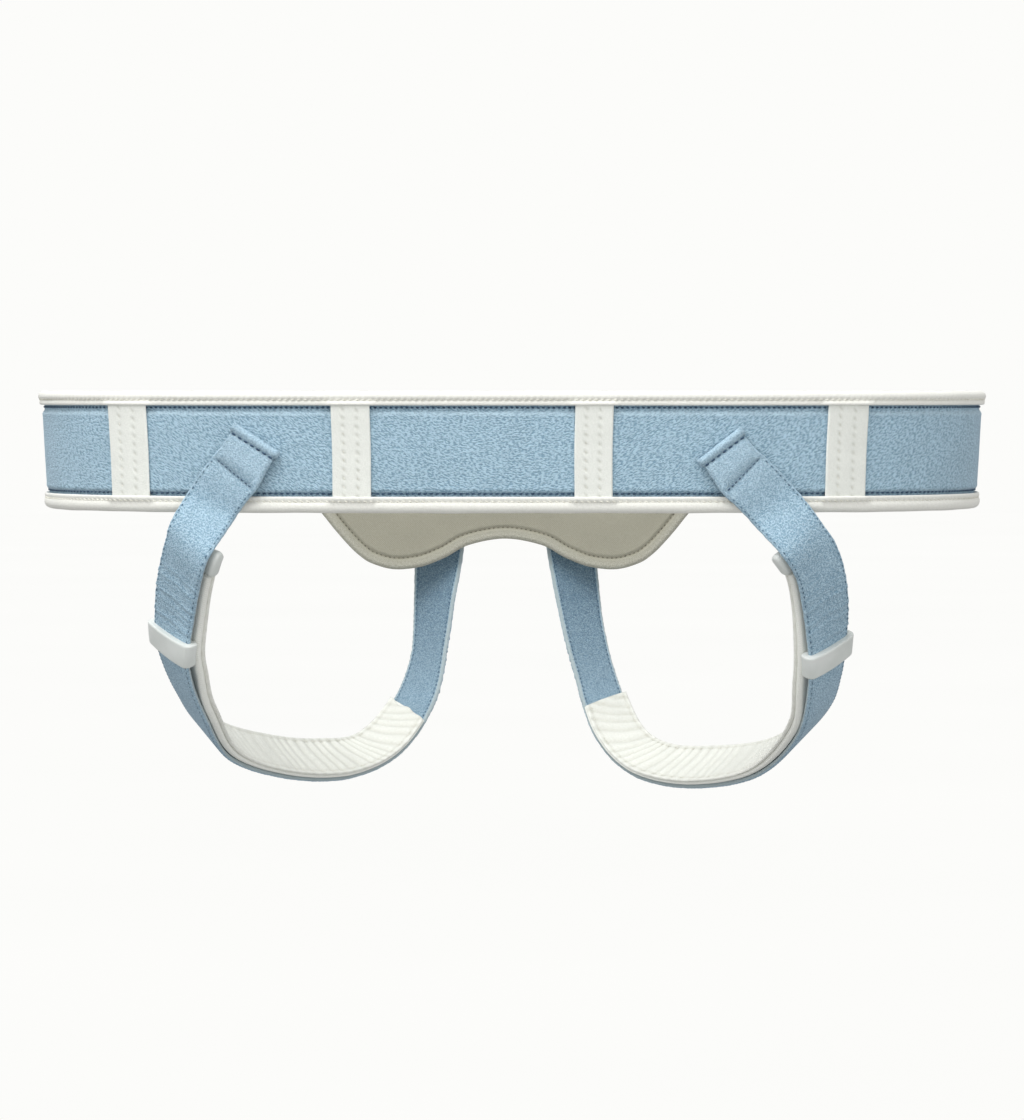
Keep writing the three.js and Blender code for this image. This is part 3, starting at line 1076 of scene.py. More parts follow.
@dataclass
class Waistband:
    """The padded band, its two bindings and their stitches."""

    panel_half_height: float = 21.45 * MM
    field_top: float = 15.3 * MM  # where the padded field ends, above and below the band's middle
    field_bottom: float = -15.5 * MM
    recess: float = 3.15 * MM  # height of the flattened seam strips over the inner face
    rise: float = 0.85 * MM  # how far the padded field stands over them
    inner_rise: float = 0.55 * MM  # the same on the inner face
    crown: float = 0.06 * MM
    sag: float = 0.1 * MM
    lip: float = 0.14 * MM  # the fuller line just inside the field's edge
    pucker: float = 0.2 * MM
    pucker_pitch: float = 4.6 * MM
    tape_lift: float = 1.0 * MM  # how far the bindings rise over the ends of the tapes
    tape_places: tuple[tuple[float, float], ...] = ()
    # height, width and depth of colour of the dark lines along the seams, which are painted shadow along the
    # bindings' edges and painted shade in the crease below the padded field, lengths in mm
    seam_lines: tuple[tuple[float, float, float], ...] = (
        (-15.8, 0.6, 0.75),
        (17.1, 0.5, 0.6),
        (-17.2, 0.35, 0.6),
    )
    # height, lift, length, width, pitch and turn of each row of stitches, lengths in mm
    stitch_rows: tuple[tuple[float, float, float, float, float, float], ...] = (
        (16.9, 3.3, 1.35, 0.75, 2.0, 0.12),
        (-15.9, 3.35, 1.6, 0.8, 2.3, -0.15),
        (16.0, 0.45, 1.6, 0.8, 2.3, 0.0),
        (-16.0, 0.45, 1.6, 0.8, 2.3, 0.0),
    )

    def _on_ring(self, along: Array, across: Array, out: Array) -> Array:
        """Bends a strip whose across is the height of the band."""
        return BAND.place(along, out, across)

    def panel(self) -> bpy.types.Object:
        """The padded cloth ring between the bindings.

        Returns:
            The piece.
        """
        height = self.panel_half_height * 2
        cloth = FlatCloth(height, BAND.length, columns=56, rows=760, ring=True, crowd=0.6)
        high, along = cloth.x, cloth.y
        inside = np.minimum(self.field_top - high, high - self.field_bottom)
        field = smooth_step(-0.7 * MM, 1.1 * MM, inside)
        crown = np.maximum(1 - (high / self.field_top) ** 2, 0) * self.crown
        sag = ripple(along, (0.071, 0.113, 0.19), 1.3) * ripple(high, (0.05, 0.083), 2.1) * self.sag
        gathers = np.abs(np.sin(math.pi * along / self.pucker_pitch))
        pucker = gathers * ridge(inside, -0.9 * MM, 0.9 * MM) * self.pucker
        lip = ridge(inside, 1.0 * MM, 0.8 * MM) * self.lip
        outer = self.recess + self.rise * field + crown + sag * field + lip - pucker
        inner = self.inner_rise * (1 - field) + sag
        # dark seam lines: painted shadow at the bindings' edges and painted shade in the lower crease
        seam = sum(ridge(high, place * MM, width * MM) * deep for place, width, deep in self.seam_lines)
        # painted highlight on the upper ridge of the padded field, where the light from above falls
        wear_and_highlight = ridge(inside, 0.6 * MM, 0.7 * MM) * 0.9 * (high > 0)
        relief = Relief(np.where(cloth.face > 0, outer, inner), wear_and_highlight, np.clip(seam, 0, 0.85))
        piece = cloth.piece(relief, self._on_ring, "waist_panel_cloth", BLUE_PEBBLED, "blue_cloth")
        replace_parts(piece, "waist_panel")
        return piece

    def panel_stitches(self) -> bpy.types.Object:
        """Dark stitches beside both bindings, outside and inside.

        Returns:
            The piece.
        """
        rows = Stitches(height=0.5 * MM)
        half = BAND.length / 2
        for high, lift, length, width, pitch, turn in self.stitch_rows:
            rows.length, rows.width, rows.pitch = length * MM, width * MM, pitch * MM
            rows.row(high * MM, -half, half, lift * MM, self._on_ring, turn)
        return rows.piece("waist_panel_stitches", BLUE_THREAD, "blue_cloth")

    def _over_tapes(self, along: Array) -> Array:
        """How far the bindings rise over the ends of the tapes, from 0 to 1.

        Args:
            along: distances along the band.

        Returns:
            One share for each.
        """
        lift = np.zeros_like(along)
        for middle, width in self.tape_places:
            lift = np.maximum(lift, 1 - smooth_step(width / 2, width / 2 + 3 * MM, np.abs(along - middle)))
        return lift

    def binding(
        self, name: str, node: str, section: tuple[tuple[float, float], ...], stitch_at: float
    ) -> list[bpy.types.Object]:
        """A strip folded over one edge of the band, with its stitches.

        Args:
            name: the piece's name.
            node: the node that it replaces.
            section: the strip's middle line from its inner to its outer edge, as offset and height in mm.
            stitch_at: how far from its outer edge the stitches are.

        Returns:
            The strip and its stitches.
        """
        curve = Spline(np.array(section) * MM)
        shares = np.linspace(0, 1, 400)
        spots = curve.at(shares)
        reach = reaches(spots)
        width = float(reach[-1])
        turned = 1 if spots[len(spots) // 2][1] > 0 else -1

        def fold(along: Array, across: Array, out: Array) -> Array:
            """Folds the strip over the edge and bends it round the band."""
            share = np.interp(across + width / 2, reach, shares)
            step = unit(curve.at(share + 1e-3) - curve.at(share - 1e-3))
            normal = np.stack([step[:, 1], -step[:, 0]], axis=1) * -turned
            spot = curve.at(share) + normal * out[:, None]
            outer = smooth_step(2.0 * MM, 4.2 * MM, spot[:, 0])
            flange = smooth_step(20.4 * MM, 18.4 * MM, np.abs(spot[:, 1]))
            spot[:, 0] += self._over_tapes(along) * outer * flange * self.tape_lift
            return BAND.place(along, spot[:, 0], spot[:, 1])

        cloth = FlatCloth(width, BAND.length, columns=30, rows=1400, ring=True, crowd=0.9)
        edge = width / 2 - cloth.x  # from the outer edge
        rows = Stitches(length=2.1 * MM, width=0.75 * MM, height=0.6 * MM, pitch=2.45 * MM)
        line = ridge(edge, stitch_at, rows.width)
        slant = 3.2 * MM  # how far across the cloth one turn of the rope's twist reaches
        twist = np.sin(TURN * (cloth.y / rows.pitch - edge / slant))
        rope = twist * ridge(edge, stitch_at, 1.5 * MM) * 0.22 * MM
        waves = ripple(cloth.y, (0.023, 0.041, 0.087), 0.7) * 0.12 * MM
        outside = np.where(cloth.face > 0, rope - line * 0.2 * MM, 0)
        out = cloth.rounded(BINDING_THICKNESS, 0.55 * MM) + waves + outside
        # painted shade in the stitch groove, darker between the twists of the thread
        seam = line * 0.5 * (0.5 - 0.5 * twist) * (cloth.face > 0)
        wear_and_highlight = ridge(edge, 0, 0.7 * MM) * 0.6
        strip = cloth.piece(Relief(out, wear_and_highlight, seam), fold, name, CREAM_BINDING, "cream_binding")
        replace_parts(strip, node)
        across = width / 2 - stitch_at
        rows.row(across, -BAND.length / 2, BAND.length / 2, 0.38 * MM, fold, turn=0.5)
        rows.row(-across, -BAND.length / 2, BAND.length / 2, 0.5 * MM, fold, turn=0.3)
        thread = rows.piece(name + "_stitches", CREAM_THREAD, "cream_binding")
        flat = (width, BAND.length)
        return [strip, thread]

    def build(self) -> list[bpy.types.Object]:
        """Makes the panel, the bindings and all their stitches.

        Returns:
            The pieces.
        """
        # offset and height in mm, from the inner flange over the band's edge to the outer flange
        top = (
            (-0.8, 17.9), (-0.85, 20.0), (-0.8, 21.6), (0.1, 22.55), (1.7, 22.75), (3.2, 22.7),
            (4.3, 22.2), (4.8, 21.3), (4.75, 20.5), (4.35, 19.7), (4.5, 18.8), (4.35, 17.75),
        )
        bottom = (
            (-0.8, -17.2), (-0.85, -20.0), (-0.8, -21.7), (0.1, -22.6), (1.7, -22.8), (3.3, -22.7),
            (4.4, -22.1), (4.8, -21.1), (4.7, -20.0), (4.35, -19.0), (4.45, -18.0), (4.35, -17.0),
        )
        return [
            self.panel(),
            self.panel_stitches(),
            *self.binding("top_binding_strip", "top_binding", top, 2.3 * MM),
            *self.binding("bottom_binding_strip", "bottom_binding", bottom, 2.0 * MM),
        ]


@dataclass
class Tapes:
    """The four vertical tapes over the near side of the band."""

    # share of half the band's breadth, and width in mm, of each tape
    places: tuple[tuple[float, float], ...] = ((-0.793, 17.4), (-0.333, 14.8), (0.17, 14.6), (0.692, 16.6))
    stitch_lines: tuple[float, float] = (-0.2, 0.16)  # shares of the width
    stitch_pitch: float = 3.3 * MM
    thickness: float = 0.85 * MM
    bottom: float = -17.6 * MM
    top: float = 18.2 * MM

    def spans(self) -> tuple[tuple[float, float], ...]:
        """Each tape's middle along the band, and its width."""
        return tuple((BAND.near(across), width * MM) for across, width in self.places)

    def build(self) -> list[bpy.types.Object]:
        """Makes each tape with its two rows of stitches.

        Returns:
            The pieces.
        """
        made = []
        for number, (middle, width) in enumerate(self.spans(), 1):
            made += self._tape(number, middle, width)
        return made

    def _tape(self, number: int, middle: float, width: float) -> list[bpy.types.Object]:
        """One tape and its stitches.

        Args:
            number: the tape's number, from the viewer's left.
            middle: where it is along the band.
            width: its width.

        Returns:
            The tape and its stitches.
        """
        length, centre = self.top - self.bottom, (self.top + self.bottom) / 2

        def stand(along: Array, across: Array, out: Array) -> Array:
            """Stands the tape up on the panel."""
            bow = ridge(along, 0.0, 0.012) * 0.25 * MM * np.sign(middle)
            return BAND.place(middle + across - bow, out + ON_PANEL + self.thickness / 2, along + centre)

        name = f"keeper_tape_{number}"
        cloth = FlatCloth(width, length, columns=36, rows=84, crowd=0.5)
        lines = [share * width for share in self.stitch_lines]
        dent = sum(ridge(cloth.x, line, 0.75 * MM) for line in lines)
        slanted = cloth.y + 0.7 * cloth.x
        dots = dent * (0.5 + 0.5 * np.sin(TURN * slanted / self.stitch_pitch)) ** 2
        bulge = ridge(cloth.x, sum(lines) / 2, 1.6 * MM) * 0.06 * MM
        waves = ripple(cloth.y, (0.009, 0.016), number) * 0.04 * MM
        out = cloth.rounded(self.thickness, 0.5 * MM)
        out = out + np.where(cloth.face > 0, bulge - dots * 0.28 * MM + waves, 0)
        wear_and_highlight = ridge(np.abs(cloth.x), width / 2, 0.6 * MM) * 0.5
        # painted shade in the dents along the stitch lines
        relief = Relief(out, wear_and_highlight, dots * 0.55)
        tape = cloth.piece(relief, stand, name + "_cloth", CREAM_TAPE, "cream_tape")
        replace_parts(tape, name)
        rows = Stitches(length=1.1 * MM, width=0.45 * MM, height=0.3 * MM, pitch=self.stitch_pitch)
        end = length / 2 - 2.5 * MM
        for line in lines:
            rows.row(line, -end, end, 0.2 * MM, stand, turn=0.3)
        thread = rows.piece(name + "_stitches", CREAM_THREAD, "cream_tape")
        return [tape, thread]


@dataclass
class ClosureFlap:
    """The closing flap on the far side of the band."""

    across: float = 0.1  # share of half the band's breadth
    length: float = 90 * MM
    height: float = 30 * MM
    thickness: float = 1.4 * MM
    seam_inset: float = 2.6 * MM

    def build(self) -> list[bpy.types.Object]:
        """Makes the flap and the stitches round its edge.

        Returns:
            The flap and its stitches.
        """
        middle = BAND.far(self.across)

        def lie(along: Array, across: Array, out: Array) -> Array:
            """Lays the flap on the panel."""
            return BAND.place(middle + along, out + ON_PANEL + self.thickness / 2, across)

        cloth = FlatCloth(self.height, self.length, columns=44, rows=120, crowd=0.5)
        seam = ridge(cloth.inset(), self.seam_inset, 0.6 * MM)
        out = cloth.rounded(self.thickness, 0.7 * MM) - np.where(cloth.face > 0, seam * 0.25 * MM, 0)
        # darker along the seam, with painted shade in its groove
        relief = Relief(out, ridge(cloth.inset(), 0, 0.8 * MM) * 0.6, seam * 0.6)
        flap = cloth.piece(relief, lie, "closure_flap_cloth", BLUE_PEBBLED, "blue_cloth")
        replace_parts(flap, "closure_flap")
        rows = Stitches(length=1.5 * MM, width=0.5 * MM, height=0.4 * MM, pitch=2.3 * MM)
        x, y = self.height / 2 - self.seam_inset, self.length / 2 - self.seam_inset
        for end in (-1, 1):
            rows.row(end * x, -y, y, 0.5 * MM, lie)
            rows.bar(end * y, -x, x, 0.5 * MM, lie)
        thread = rows.piece("closure_flap_stitches", BLUE_THREAD, "blue_cloth")
        flat = (self.height, self.length)
        return [flap, thread]


@dataclass
class GroinPad:
    """The two-lobed pad that hangs inside the far side, filled by a cloth simulation inside its seam."""

    width: float = 184 * MM
    hang: float = 29.6 * MM
    rise: float = 36 * MM
    offset: float = -3 * MM
    rim: float = 3.4 * MM
    field: float = 4.6 * MM
    seam_inset: float = 4.9 * MM
    corner_drop: float = 9 * MM
    roll: float = 1.9 * MM
    deepest: float = 7.2 * MM
    slope: float = 18 * MM  # over which it gets thicker inside its seam
    pressure: float = 4.0
    frames: int = 20
    most_moved: float = 1.6 * MM  # by the filling
    share_moved: float = 0.6
    # shares of half the width and of the hang
    lower_edge: tuple[tuple[float, float], ...] = (
        (-0.17, 0.65), (0.0, 0.56), (0.17, 0.65), (0.29, 0.84), (0.41, 0.97), (0.53, 1.0),
        (0.64, 0.91), (0.7, 0.79), (0.78, 0.54), (0.87, 0.2), (0.95, -0.1), (1.0, -0.4),
    )

    def low(self, share: Array) -> Array:
        """The height of the lower edge at a share of half the width."""
        curve = Spline(np.array(self.lower_edge)).at(np.linspace(0, 1, 500))
        return -BAND_TOP - self.hang * np.interp(np.abs(share), curve[:, 0], curve[:, 1])

    def high(self, share: Array) -> Array:
        """The height of the upper edge at a share of half the width."""
        return self.rise - BAND_TOP - self.corner_drop * share**8

    def contour(self, inset: float) -> Array:
        """A closed line inside the pad's outline.

        Args:
            inset: its distance from the outline.

        Returns:
            Its points, close together, as x and height.
        """
        share = np.linspace(-1, 1, 500)
        x = share * self.width / 2
        ends = np.linspace(0, 1, 60)[1:-1]
        end = np.ones_like(ends)
        right = np.stack([end * self.width / 2, self.low(end) * (1 - ends) + self.high(end) * ends], 1)
        lower, upper = np.stack([x, self.low(share)], 1), np.stack([x, self.high(share)], 1)
        loop = np.vstack([lower, right, upper[::-1], right[::-1] * (-1, 1)])
        step = np.roll(loop, -1, axis=0) - np.roll(loop, 1, axis=0)
        inner = loop + unit(np.stack([-step[:, 1], step[:, 0]], 1)) * inset
        gaps = np.linalg.norm(inner[:, None, :] - loop[None, :, :], axis=2).min(axis=1)
        return inner[gaps >= inset * 0.97]

    def _sit(self, along: Array, across: Array, out: Array) -> Array:
        """Bends the pad onto the inside of the band's far side."""
        middle = BAND.near(self.offset * 2 / BAND.breadth)
        return BAND.place(BAND.length / 2 - (middle + across), PAD_BACK + out, along)

    def _lay_out(self, columns: int, rows: int) -> tuple[FlatCloth, Array]:
        """The pad's flat shape.

        Args:
            columns: how many faces it has across.
            rows: how many faces it has from the lower to the upper edge.

        Returns:
            The cloth, and each point's shares of the width and of the height.
        """
        cloth = FlatCloth(2.0, 1.0, columns, rows)
        share, level = cloth.x.copy(), cloth.y.copy()
        low, high = self.low(share), self.high(share)
        cloth.x = share * self.width / 2
        cloth.y = low + (high - low) * (1 + np.sin(math.pi * level)) / 2
        return cloth, np.stack([share, level], axis=1)

    def _heights(self, cloth: FlatCloth, inset: Array) -> Array:
        """The pad's two faces before it is filled, with its rounded rim.

        Args:
            cloth: the flat pad.
            inset: how far each point is from the pad's outline.

        Returns:
            One height for each point.
        """
        thick = self.rim + (self.field - self.rim) * smooth_step(
            self.seam_inset, self.seam_inset + self.slope, inset
        )
        roll = rolled(inset, self.roll, least=0.1)
        upper, lower = self.rim / 2 * roll, (thick - self.rim / 2) * roll
        return np.where(cloth.face > 0, upper, -lower) - self.rim / 2

    def _filling(self, columns: int, rows: int, outline: Array) -> Callable[[FlatCloth, Array], Array]:
        """Blows a plain pad up inside its seam with Blender's cloth.

        Args:
            columns: how many faces it has across.
            rows: how many faces it has from the lower to the upper edge.
            outline: the pad's outline.

        Returns:
            A function that gives, for another cloth and its shares, how far the filling moves each point.
        """
        cloth, shares = self._lay_out(columns, rows)
        inset = nearest(np.stack([cloth.x, cloth.y], 1), outline)
        out = self._heights(cloth, inset)
        move_points(cloth.bm, np.stack([cloth.x, cloth.y, out], axis=1))
        bmesh.ops.recalc_face_normals(cloth.bm, faces=cloth.bm.faces[:])
        held = np.nonzero(inset <= self.seam_inset)[0].tolist()
        new = self._blown_up(cloth.bm, held)
        moved = np.clip(new[:, 2] - out, -self.most_moved, self.most_moved)
        LOG.info("the filling moves the pad's faces by up to %.1f mm", float(np.abs(moved).max()) / MM)
        grids = []
        for face in (-1, 1):
            own = np.nonzero(cloth.face * face > 0)[0]
            order = own[np.lexsort((shares[own, 0].round(6), shares[own, 1].round(6)))]
            grids.append(moved[order].reshape(rows + 1, columns + 1))

        def spread(other: FlatCloth, places: Array) -> Array:
            """Reads the moves between the points of the plain pad."""
            across, level = (places[:, 0] + 1) / 2 * columns, (places[:, 1] + 0.5) * rows
            i, j = (np.minimum(v.astype(int), n - 1) for v, n in ((across, columns), (level, rows)))
            a, b = across - i, level - j
            lower, upper = (
                (grid[j, i] * (1 - a) + grid[j, i + 1] * a) * (1 - b)
                + (grid[j + 1, i] * (1 - a) + grid[j + 1, i + 1] * a) * b
                for grid in grids
            )
            return np.where(other.face > 0, upper, lower)

        return spread

    def _blown_up(self, bm: bmesh.types.BMesh, held: list[int]) -> Array:
        """Runs Blender's cloth on a closed shape.

        Args:
            bm: the shape, which is used up.
            held: the points that keep their place.

        Returns:
            Where its points end.
        """
        mesh = bpy.data.meshes.new("pad_filling")
        bm.to_mesh(mesh)
        bm.free()
        filling = bpy.data.objects.new("pad_filling", mesh)
        scene = bpy.context.scene
        scene.collection.objects.link(filling)
        filling.vertex_groups.new(name="held").add(held, 1.0, "REPLACE")
        modifier = filling.modifiers.new("filling", "CLOTH")
        settings = modifier.settings
        settings.vertex_group_mass = "held"
        settings.use_pressure = True
        settings.uniform_pressure_force = self.pressure
        settings.effector_weights.gravity = 0.0
        modifier.point_cache.frame_start, modifier.point_cache.frame_end = 1, self.frames
        for number in range(1, self.frames + 1):
            scene.frame_set(number)
        solved = filling.evaluated_get(bpy.context.evaluated_depsgraph_get())
        places = np.zeros(len(mesh.vertices) * 3)
        solved.data.vertices.foreach_get("co", places)
        scene.frame_set(1)
        bpy.data.objects.remove(filling)
        return places.reshape(-1, 3)

    def build(self) -> list[bpy.types.Object]:
        """Makes the pad and the stitches inside its rim.

        Returns:
            The pad and its stitches.
        """
        cloth, shares = self._lay_out(columns=270, rows=110)
        outline, seam_line = self.contour(0.0), self.contour(self.seam_inset)
        flat = np.stack([cloth.x, cloth.y], 1)
        inset, from_seam = nearest(flat, outline), nearest(flat, seam_line)
        out = self._heights(cloth, inset)
        moved = self._filling(columns=110, rows=48, outline=outline)(cloth, shares)
        inside = smooth_step(self.seam_inset - 0.2 * MM, self.seam_inset + 12 * MM, inset)
        out = out + moved * self.share_moved * inside
        groove = ridge(from_seam, 0.0, 0.65 * MM)
        pull = ripple(cloth.x + cloth.y, (0.0043, 0.0069), 0.8) * ridge(from_seam, 0.0, 2.0 * MM) * 0.06 * MM
        out = out + np.where(cloth.face > 0, -groove * 0.2 * MM, groove * 0.6 * MM + pull)
        out = np.clip(out, -self.deepest, 0.0)
        wear_and_highlight = ridge(inset, 1.2 * MM, 2.6 * MM) * 0.85
        # darker along the seam, with painted shade in its groove
        relief = Relief(out, wear_and_highlight, groove * 0.45)
        pad = cloth.piece(relief, self._sit, "groin_pad_cushion", PAD_CLOTH, "pad_cloth")
        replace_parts(pad, "groin_pad")
        return [pad, self._stitches(seam_line)]

    def _stitches(self, line: Array) -> bpy.types.Object:
        """Short stitches along the seam, on both faces.

        Args:
            line: the seam, as x and height.

        Returns:
            The piece.
        """
        rows = Stitches(length=1.05 * MM, width=0.55 * MM, height=0.5 * MM, pitch=2.0 * MM)
        closed = np.vstack([line, line[:1]])
        reach = reaches(closed)
        count = round(reach[-1] / rows.pitch)
        spots = np.arange(count) * reach[-1] / count
        x, y = (np.interp(spots, reach, closed[:, k]) for k in (0, 1))
        ahead = [np.interp(spots + 0.4 * MM, reach, closed[:, k]) for k in (0, 1)]
        turn = np.arctan2(-(ahead[0] - x), ahead[1] - y)
        rows.add(x, y, turn, np.full(count, 0.4 * MM - self.rim), self._sit)
        rows.add(x, y, turn, np.full(count, -0.22 * MM), self._sit)
        return rows.piece("groin_pad_stitches", GREY_THREAD, "pad_cloth")


def nearest(points: Array, line: Array) -> Array:
    """How far each point is from the nearest point of a line.

    Args:
        points: one row each.
        line: a line of close points.

    Returns:
        One distance for each point.
    """
    best = np.full(len(points), np.inf)
    for start in range(0, len(line), 200):
        part = line[start : start + 200]
        best = np.minimum(best, np.linalg.norm(points[:, None, :] - part[None, :, :], axis=2).min(axis=1))
    return best


# The leg straps


@dataclass
class LegStrap:
    """One leg strap with its padded lining, plastic loop and glide."""

    end: str
    route: StrapRoute
    cross_seam: float  # from the tab's end to the seam that holds it to the band
    wavy_end: bool
    end_reach: tuple[float, float]  # how far the lining's far end reaches at its outer and inner edge
    width: float = 21.4 * MM
    hem: float = 3.0 * MM  # the rolled end of the tab
    outer_stitch: float = 1.0 * MM  # from the edge, on the outer face
    inner_stitch: float = 1.9 * MM
    edge_pitch: float = 2.3 * MM
    steps: int = 72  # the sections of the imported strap, at which its lining ends
    lining_width: float = 20.8 * MM
    lining_stitch: float = 1.6 * MM
    backing_thickness: float = 2.7 * MM
    # how full the lining is at its front, below and at its far end
    fullness: tuple[float, float, float] = (1.2, 0.7, 0.4)
    rib_pitch: float = 6.4 * MM
    loop_width: float = 9.6 * MM
    loop_bar: float = 1.7 * MM
    loop_side_bar: float = 2.2 * MM
    loop_curl: float = 0.9 * MM  # how far its sides lie further up the strap than its middle
    loop_belly: float = 0.35 * MM  # how far its outer bar bulges
    glide_length: float = 13.2 * MM
    glide_thickness: float = 5.6 * MM
    glide_overhang: float = 1.7 * MM  # past each edge of the lining
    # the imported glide's half length and half thickness, which give its middle
    glide_seat: tuple[float, float] = (6.25 * MM, 2.5 * MM)

    def __post_init__(self) -> None:
        """Finds the strap's path."""
        self.path = StrapPath(self.route)
        self.loop_at = self.route.loop_at * self.path.length
        self.lining_from = round(self.route.lining_from * self.steps) / self.steps * self.path.length
        self.lining_to = round(self.route.lining_to * self.steps) / self.steps * self.path.length

    def build(self) -> list[bpy.types.Object]:
        """Makes all the pieces of this strap."""
        return [*self.strap(), *self.lining(), self.loop(), self.glide()]

    def strap(self) -> list[bpy.types.Object]:
        """The blue strap with its rolled hem, folded edges and stitches.

        Returns:
            The strap and its two kinds of stitches.
        """
        length, path = self.path.length, self.path

        def run(along: Array, across: Array, out: Array) -> Array:
            """Bends the flat strap along its path."""
            return path.place(along + length / 2, across, out)

        cloth = FlatCloth(self.width, length, columns=40, rows=620, crowd=0.75)
        relief = self._strap_relief(cloth, length)
        name = f"leg_strap_{self.end}"
        strap = cloth.piece(relief, run, name + "_cloth", BLUE_STRAP, "blue_strap")
        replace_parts(strap, name)
        threads = [self._strap_stitches(name, run, length), self._hem_stitches(name, run, length)]
        return [strap, *threads]

    def _strap_relief(self, cloth: FlatCloth, length: float) -> Relief:
        """The strap's thickness, hem, stitch lines and creases, painted shade and a painted highlight; also
        narrows it below its hem.

        Args:
            cloth: the flat strap.
            length: its length.

        Returns:
            Its relief.
        """
        along, across = cloth.y + length / 2, cloth.x
        edge = self.width / 2 - np.abs(across)
        outer = cloth.face > 0
        roll = np.sqrt(np.clip(1 - ((along - self.hem / 2) / (self.hem / 2 + 0.2 * MM)) ** 2, 0, 1))
        hem = np.maximum(STRAP_THICKNESS / 2 * 0.9, self.hem / 2 * roll)
        body = STRAP_THICKNESS / 2 * (1 - ridge(along, self.hem + 0.7 * MM, 0.8 * MM) * 0.45)
        half = np.where(along < self.hem, hem, body)
        start, finish = rolled(along, 1.2 * MM, least=0.2), rolled(length - along, 1.0 * MM, least=0.2)
        half = half * rolled(edge, 0.9 * MM, least=0.15) * start * finish
        beat = np.sin(TURN * along / self.edge_pitch)
        line = np.where(outer, self.outer_stitch, self.inner_stitch)
        stitch = ridge(edge, line, 0.5 * MM) * (0.6 + 0.4 * beat)
        bar = ridge(along, self.cross_seam, 0.9 * MM) * smooth_step(0.8 * MM, 2.0 * MM, edge)
        dip = ridge(along, self.cross_seam - 1.6 * MM, 2.0 * MM) * smooth_step(1.5 * MM, 4.0 * MM, edge)
        crease = self._creases(along, across)
        fold = (crease * 0.55 - stitch * 0.2 - bar * 0.45 - dip * 0.3) * MM
        inner_fold = (stitch * 0.2 - crease * 0.2) * MM
        scallop = beat * ridge(edge, 0.3 * MM, 0.7 * MM) * 0.12 * MM
        waist = smooth_step(2.6 * MM, 4.2 * MM, along) * smooth_step(16 * MM, 7 * MM, along)
        fray = ripple(along, (0.0046, 0.0083, 0.019), 1.1) * 0.14 * MM
        cloth.x = across * (1 - waist * 0.075) + np.sign(across) * ridge(edge, 0.0, 1.2 * MM) * fray
        out = cloth.face * half + np.where(outer, fold, inner_fold) + cloth.face * scallop
        hem_line = ridge(along, self.hem + 0.7 * MM, 0.6 * MM)
        # darker stitch lines, hem line and cross seam, with painted shade in their dents
        seam = stitch * np.where(outer, 0.4, 0.6) + hem_line * 0.7 + bar * 0.45 + dip * 0.3
        # painted shade on the inner face, deeper towards the root under the pad
        shade = 0.4 + 0.35 * smooth_step(0.74 * length, 0.9 * length, along)
        seam = seam + np.where(outer, 0.0, shade * smooth_step(1.2 * MM, 2.2 * MM, edge))
        # painted highlight on the tab, as well as edge wear along the outer face's rims
        tab = smooth_step(30 * MM, 12 * MM, along) * 0.6
        wear_and_highlight = np.maximum(ridge(edge, 0.3 * MM, 0.5 * MM) * 0.4, tab) * outer
        pale = (cloth.face < 0) * smooth_step(1.5 * MM, 1.1 * MM, edge)
        return Relief(out, wear_and_highlight, np.clip(seam, 0, 0.8), pale)

    def _creases(self, along: Array, across: Array) -> Array:
        """Transverse creases above the loop and where the strap bends hardest, from -1 to 1.

        Args:
            along: distances from the tab's end.
            across: distances from the middle line.

        Returns:
            One height for each.
        """
        above = smooth_step(self.loop_at - 42 * MM, self.loop_at - 26 * MM, along)
        above = above * smooth_step(self.loop_at - 4 * MM, self.loop_at - 10 * MM, along)
        far = smooth_step(0.7 * self.path.length, 0.74 * self.path.length, along)
        far = far * smooth_step(0.86 * self.path.length, 0.8 * self.path.length, along)
        slant = along + 0.18 * across + ripple(across, (0.013, 0.024), 0.4) * 0.8 * MM
        waves = ripple(slant, (2.1 * MM, 3.4 * MM, 5.3 * MM), 2.0 + self.route.side)
        return waves * (above * 0.6 + far * 0.8)

    def _strap_stitches(self, name: str, run: Place, length: float) -> bpy.types.Object:
        """Stitches along both edges, on both faces.

        Args:
            name: the strap's name.
            run: bends the flat strap.
            length: the length of the flat cloth.

        Returns:
            The piece.
        """
        rows = Stitches(length=1.4 * MM, width=0.6 * MM, height=0.45 * MM, pitch=self.edge_pitch)
        end = length / 2 - 4 * MM
        for side in (-1, 1):
            outer, inner = (side * (self.width / 2 - line) for line in (self.outer_stitch, self.inner_stitch))
            rows.row(outer, 17.5 * MM - length / 2, end, 0.78 * MM, run)
            rows.row(inner, 6 * MM - length / 2, end, -0.85 * MM, run)
        return rows.piece(name + "_stitches", PALE_BLUE_THREAD, "blue_strap")

    def _hem_stitches(self, name: str, run: Place, length: float) -> bpy.types.Object:
        """The large dark stitches under the rolled hem, and those that hold the tab to the band.

        Args:
            name: the strap's name.
            run: bends the flat strap.
            length: the length of the flat cloth.

        Returns:
            The piece.
        """
        rows = Stitches(length=2.0 * MM, width=0.9 * MM, height=0.6 * MM, pitch=2.9 * MM)
        across = self.width / 2 - 0.9 * MM
        rows.bar(self.hem + 0.8 * MM - length / 2, -across, across, 0.66 * MM, run)
        rows.length, rows.width, rows.pitch = 1.3 * MM, 0.45 * MM, 2.0 * MM
        across -= 1.0 * MM
        rows.bar(self.cross_seam - length / 2, -across, across, 0.55 * MM, run)
        return rows.piece(name + "_tab_stitches", BLUE_THREAD, "blue_strap")

    def _standoff(self, along: Array) -> Array:
        """How far the lining is from the strap's inner face."""
        below = self.loop_at + self.loop_width
        return LAYER_GAP + (self.loop_bar + LAYER_GAP) * (1 - smooth_step(below, below + 20 * MM, along))

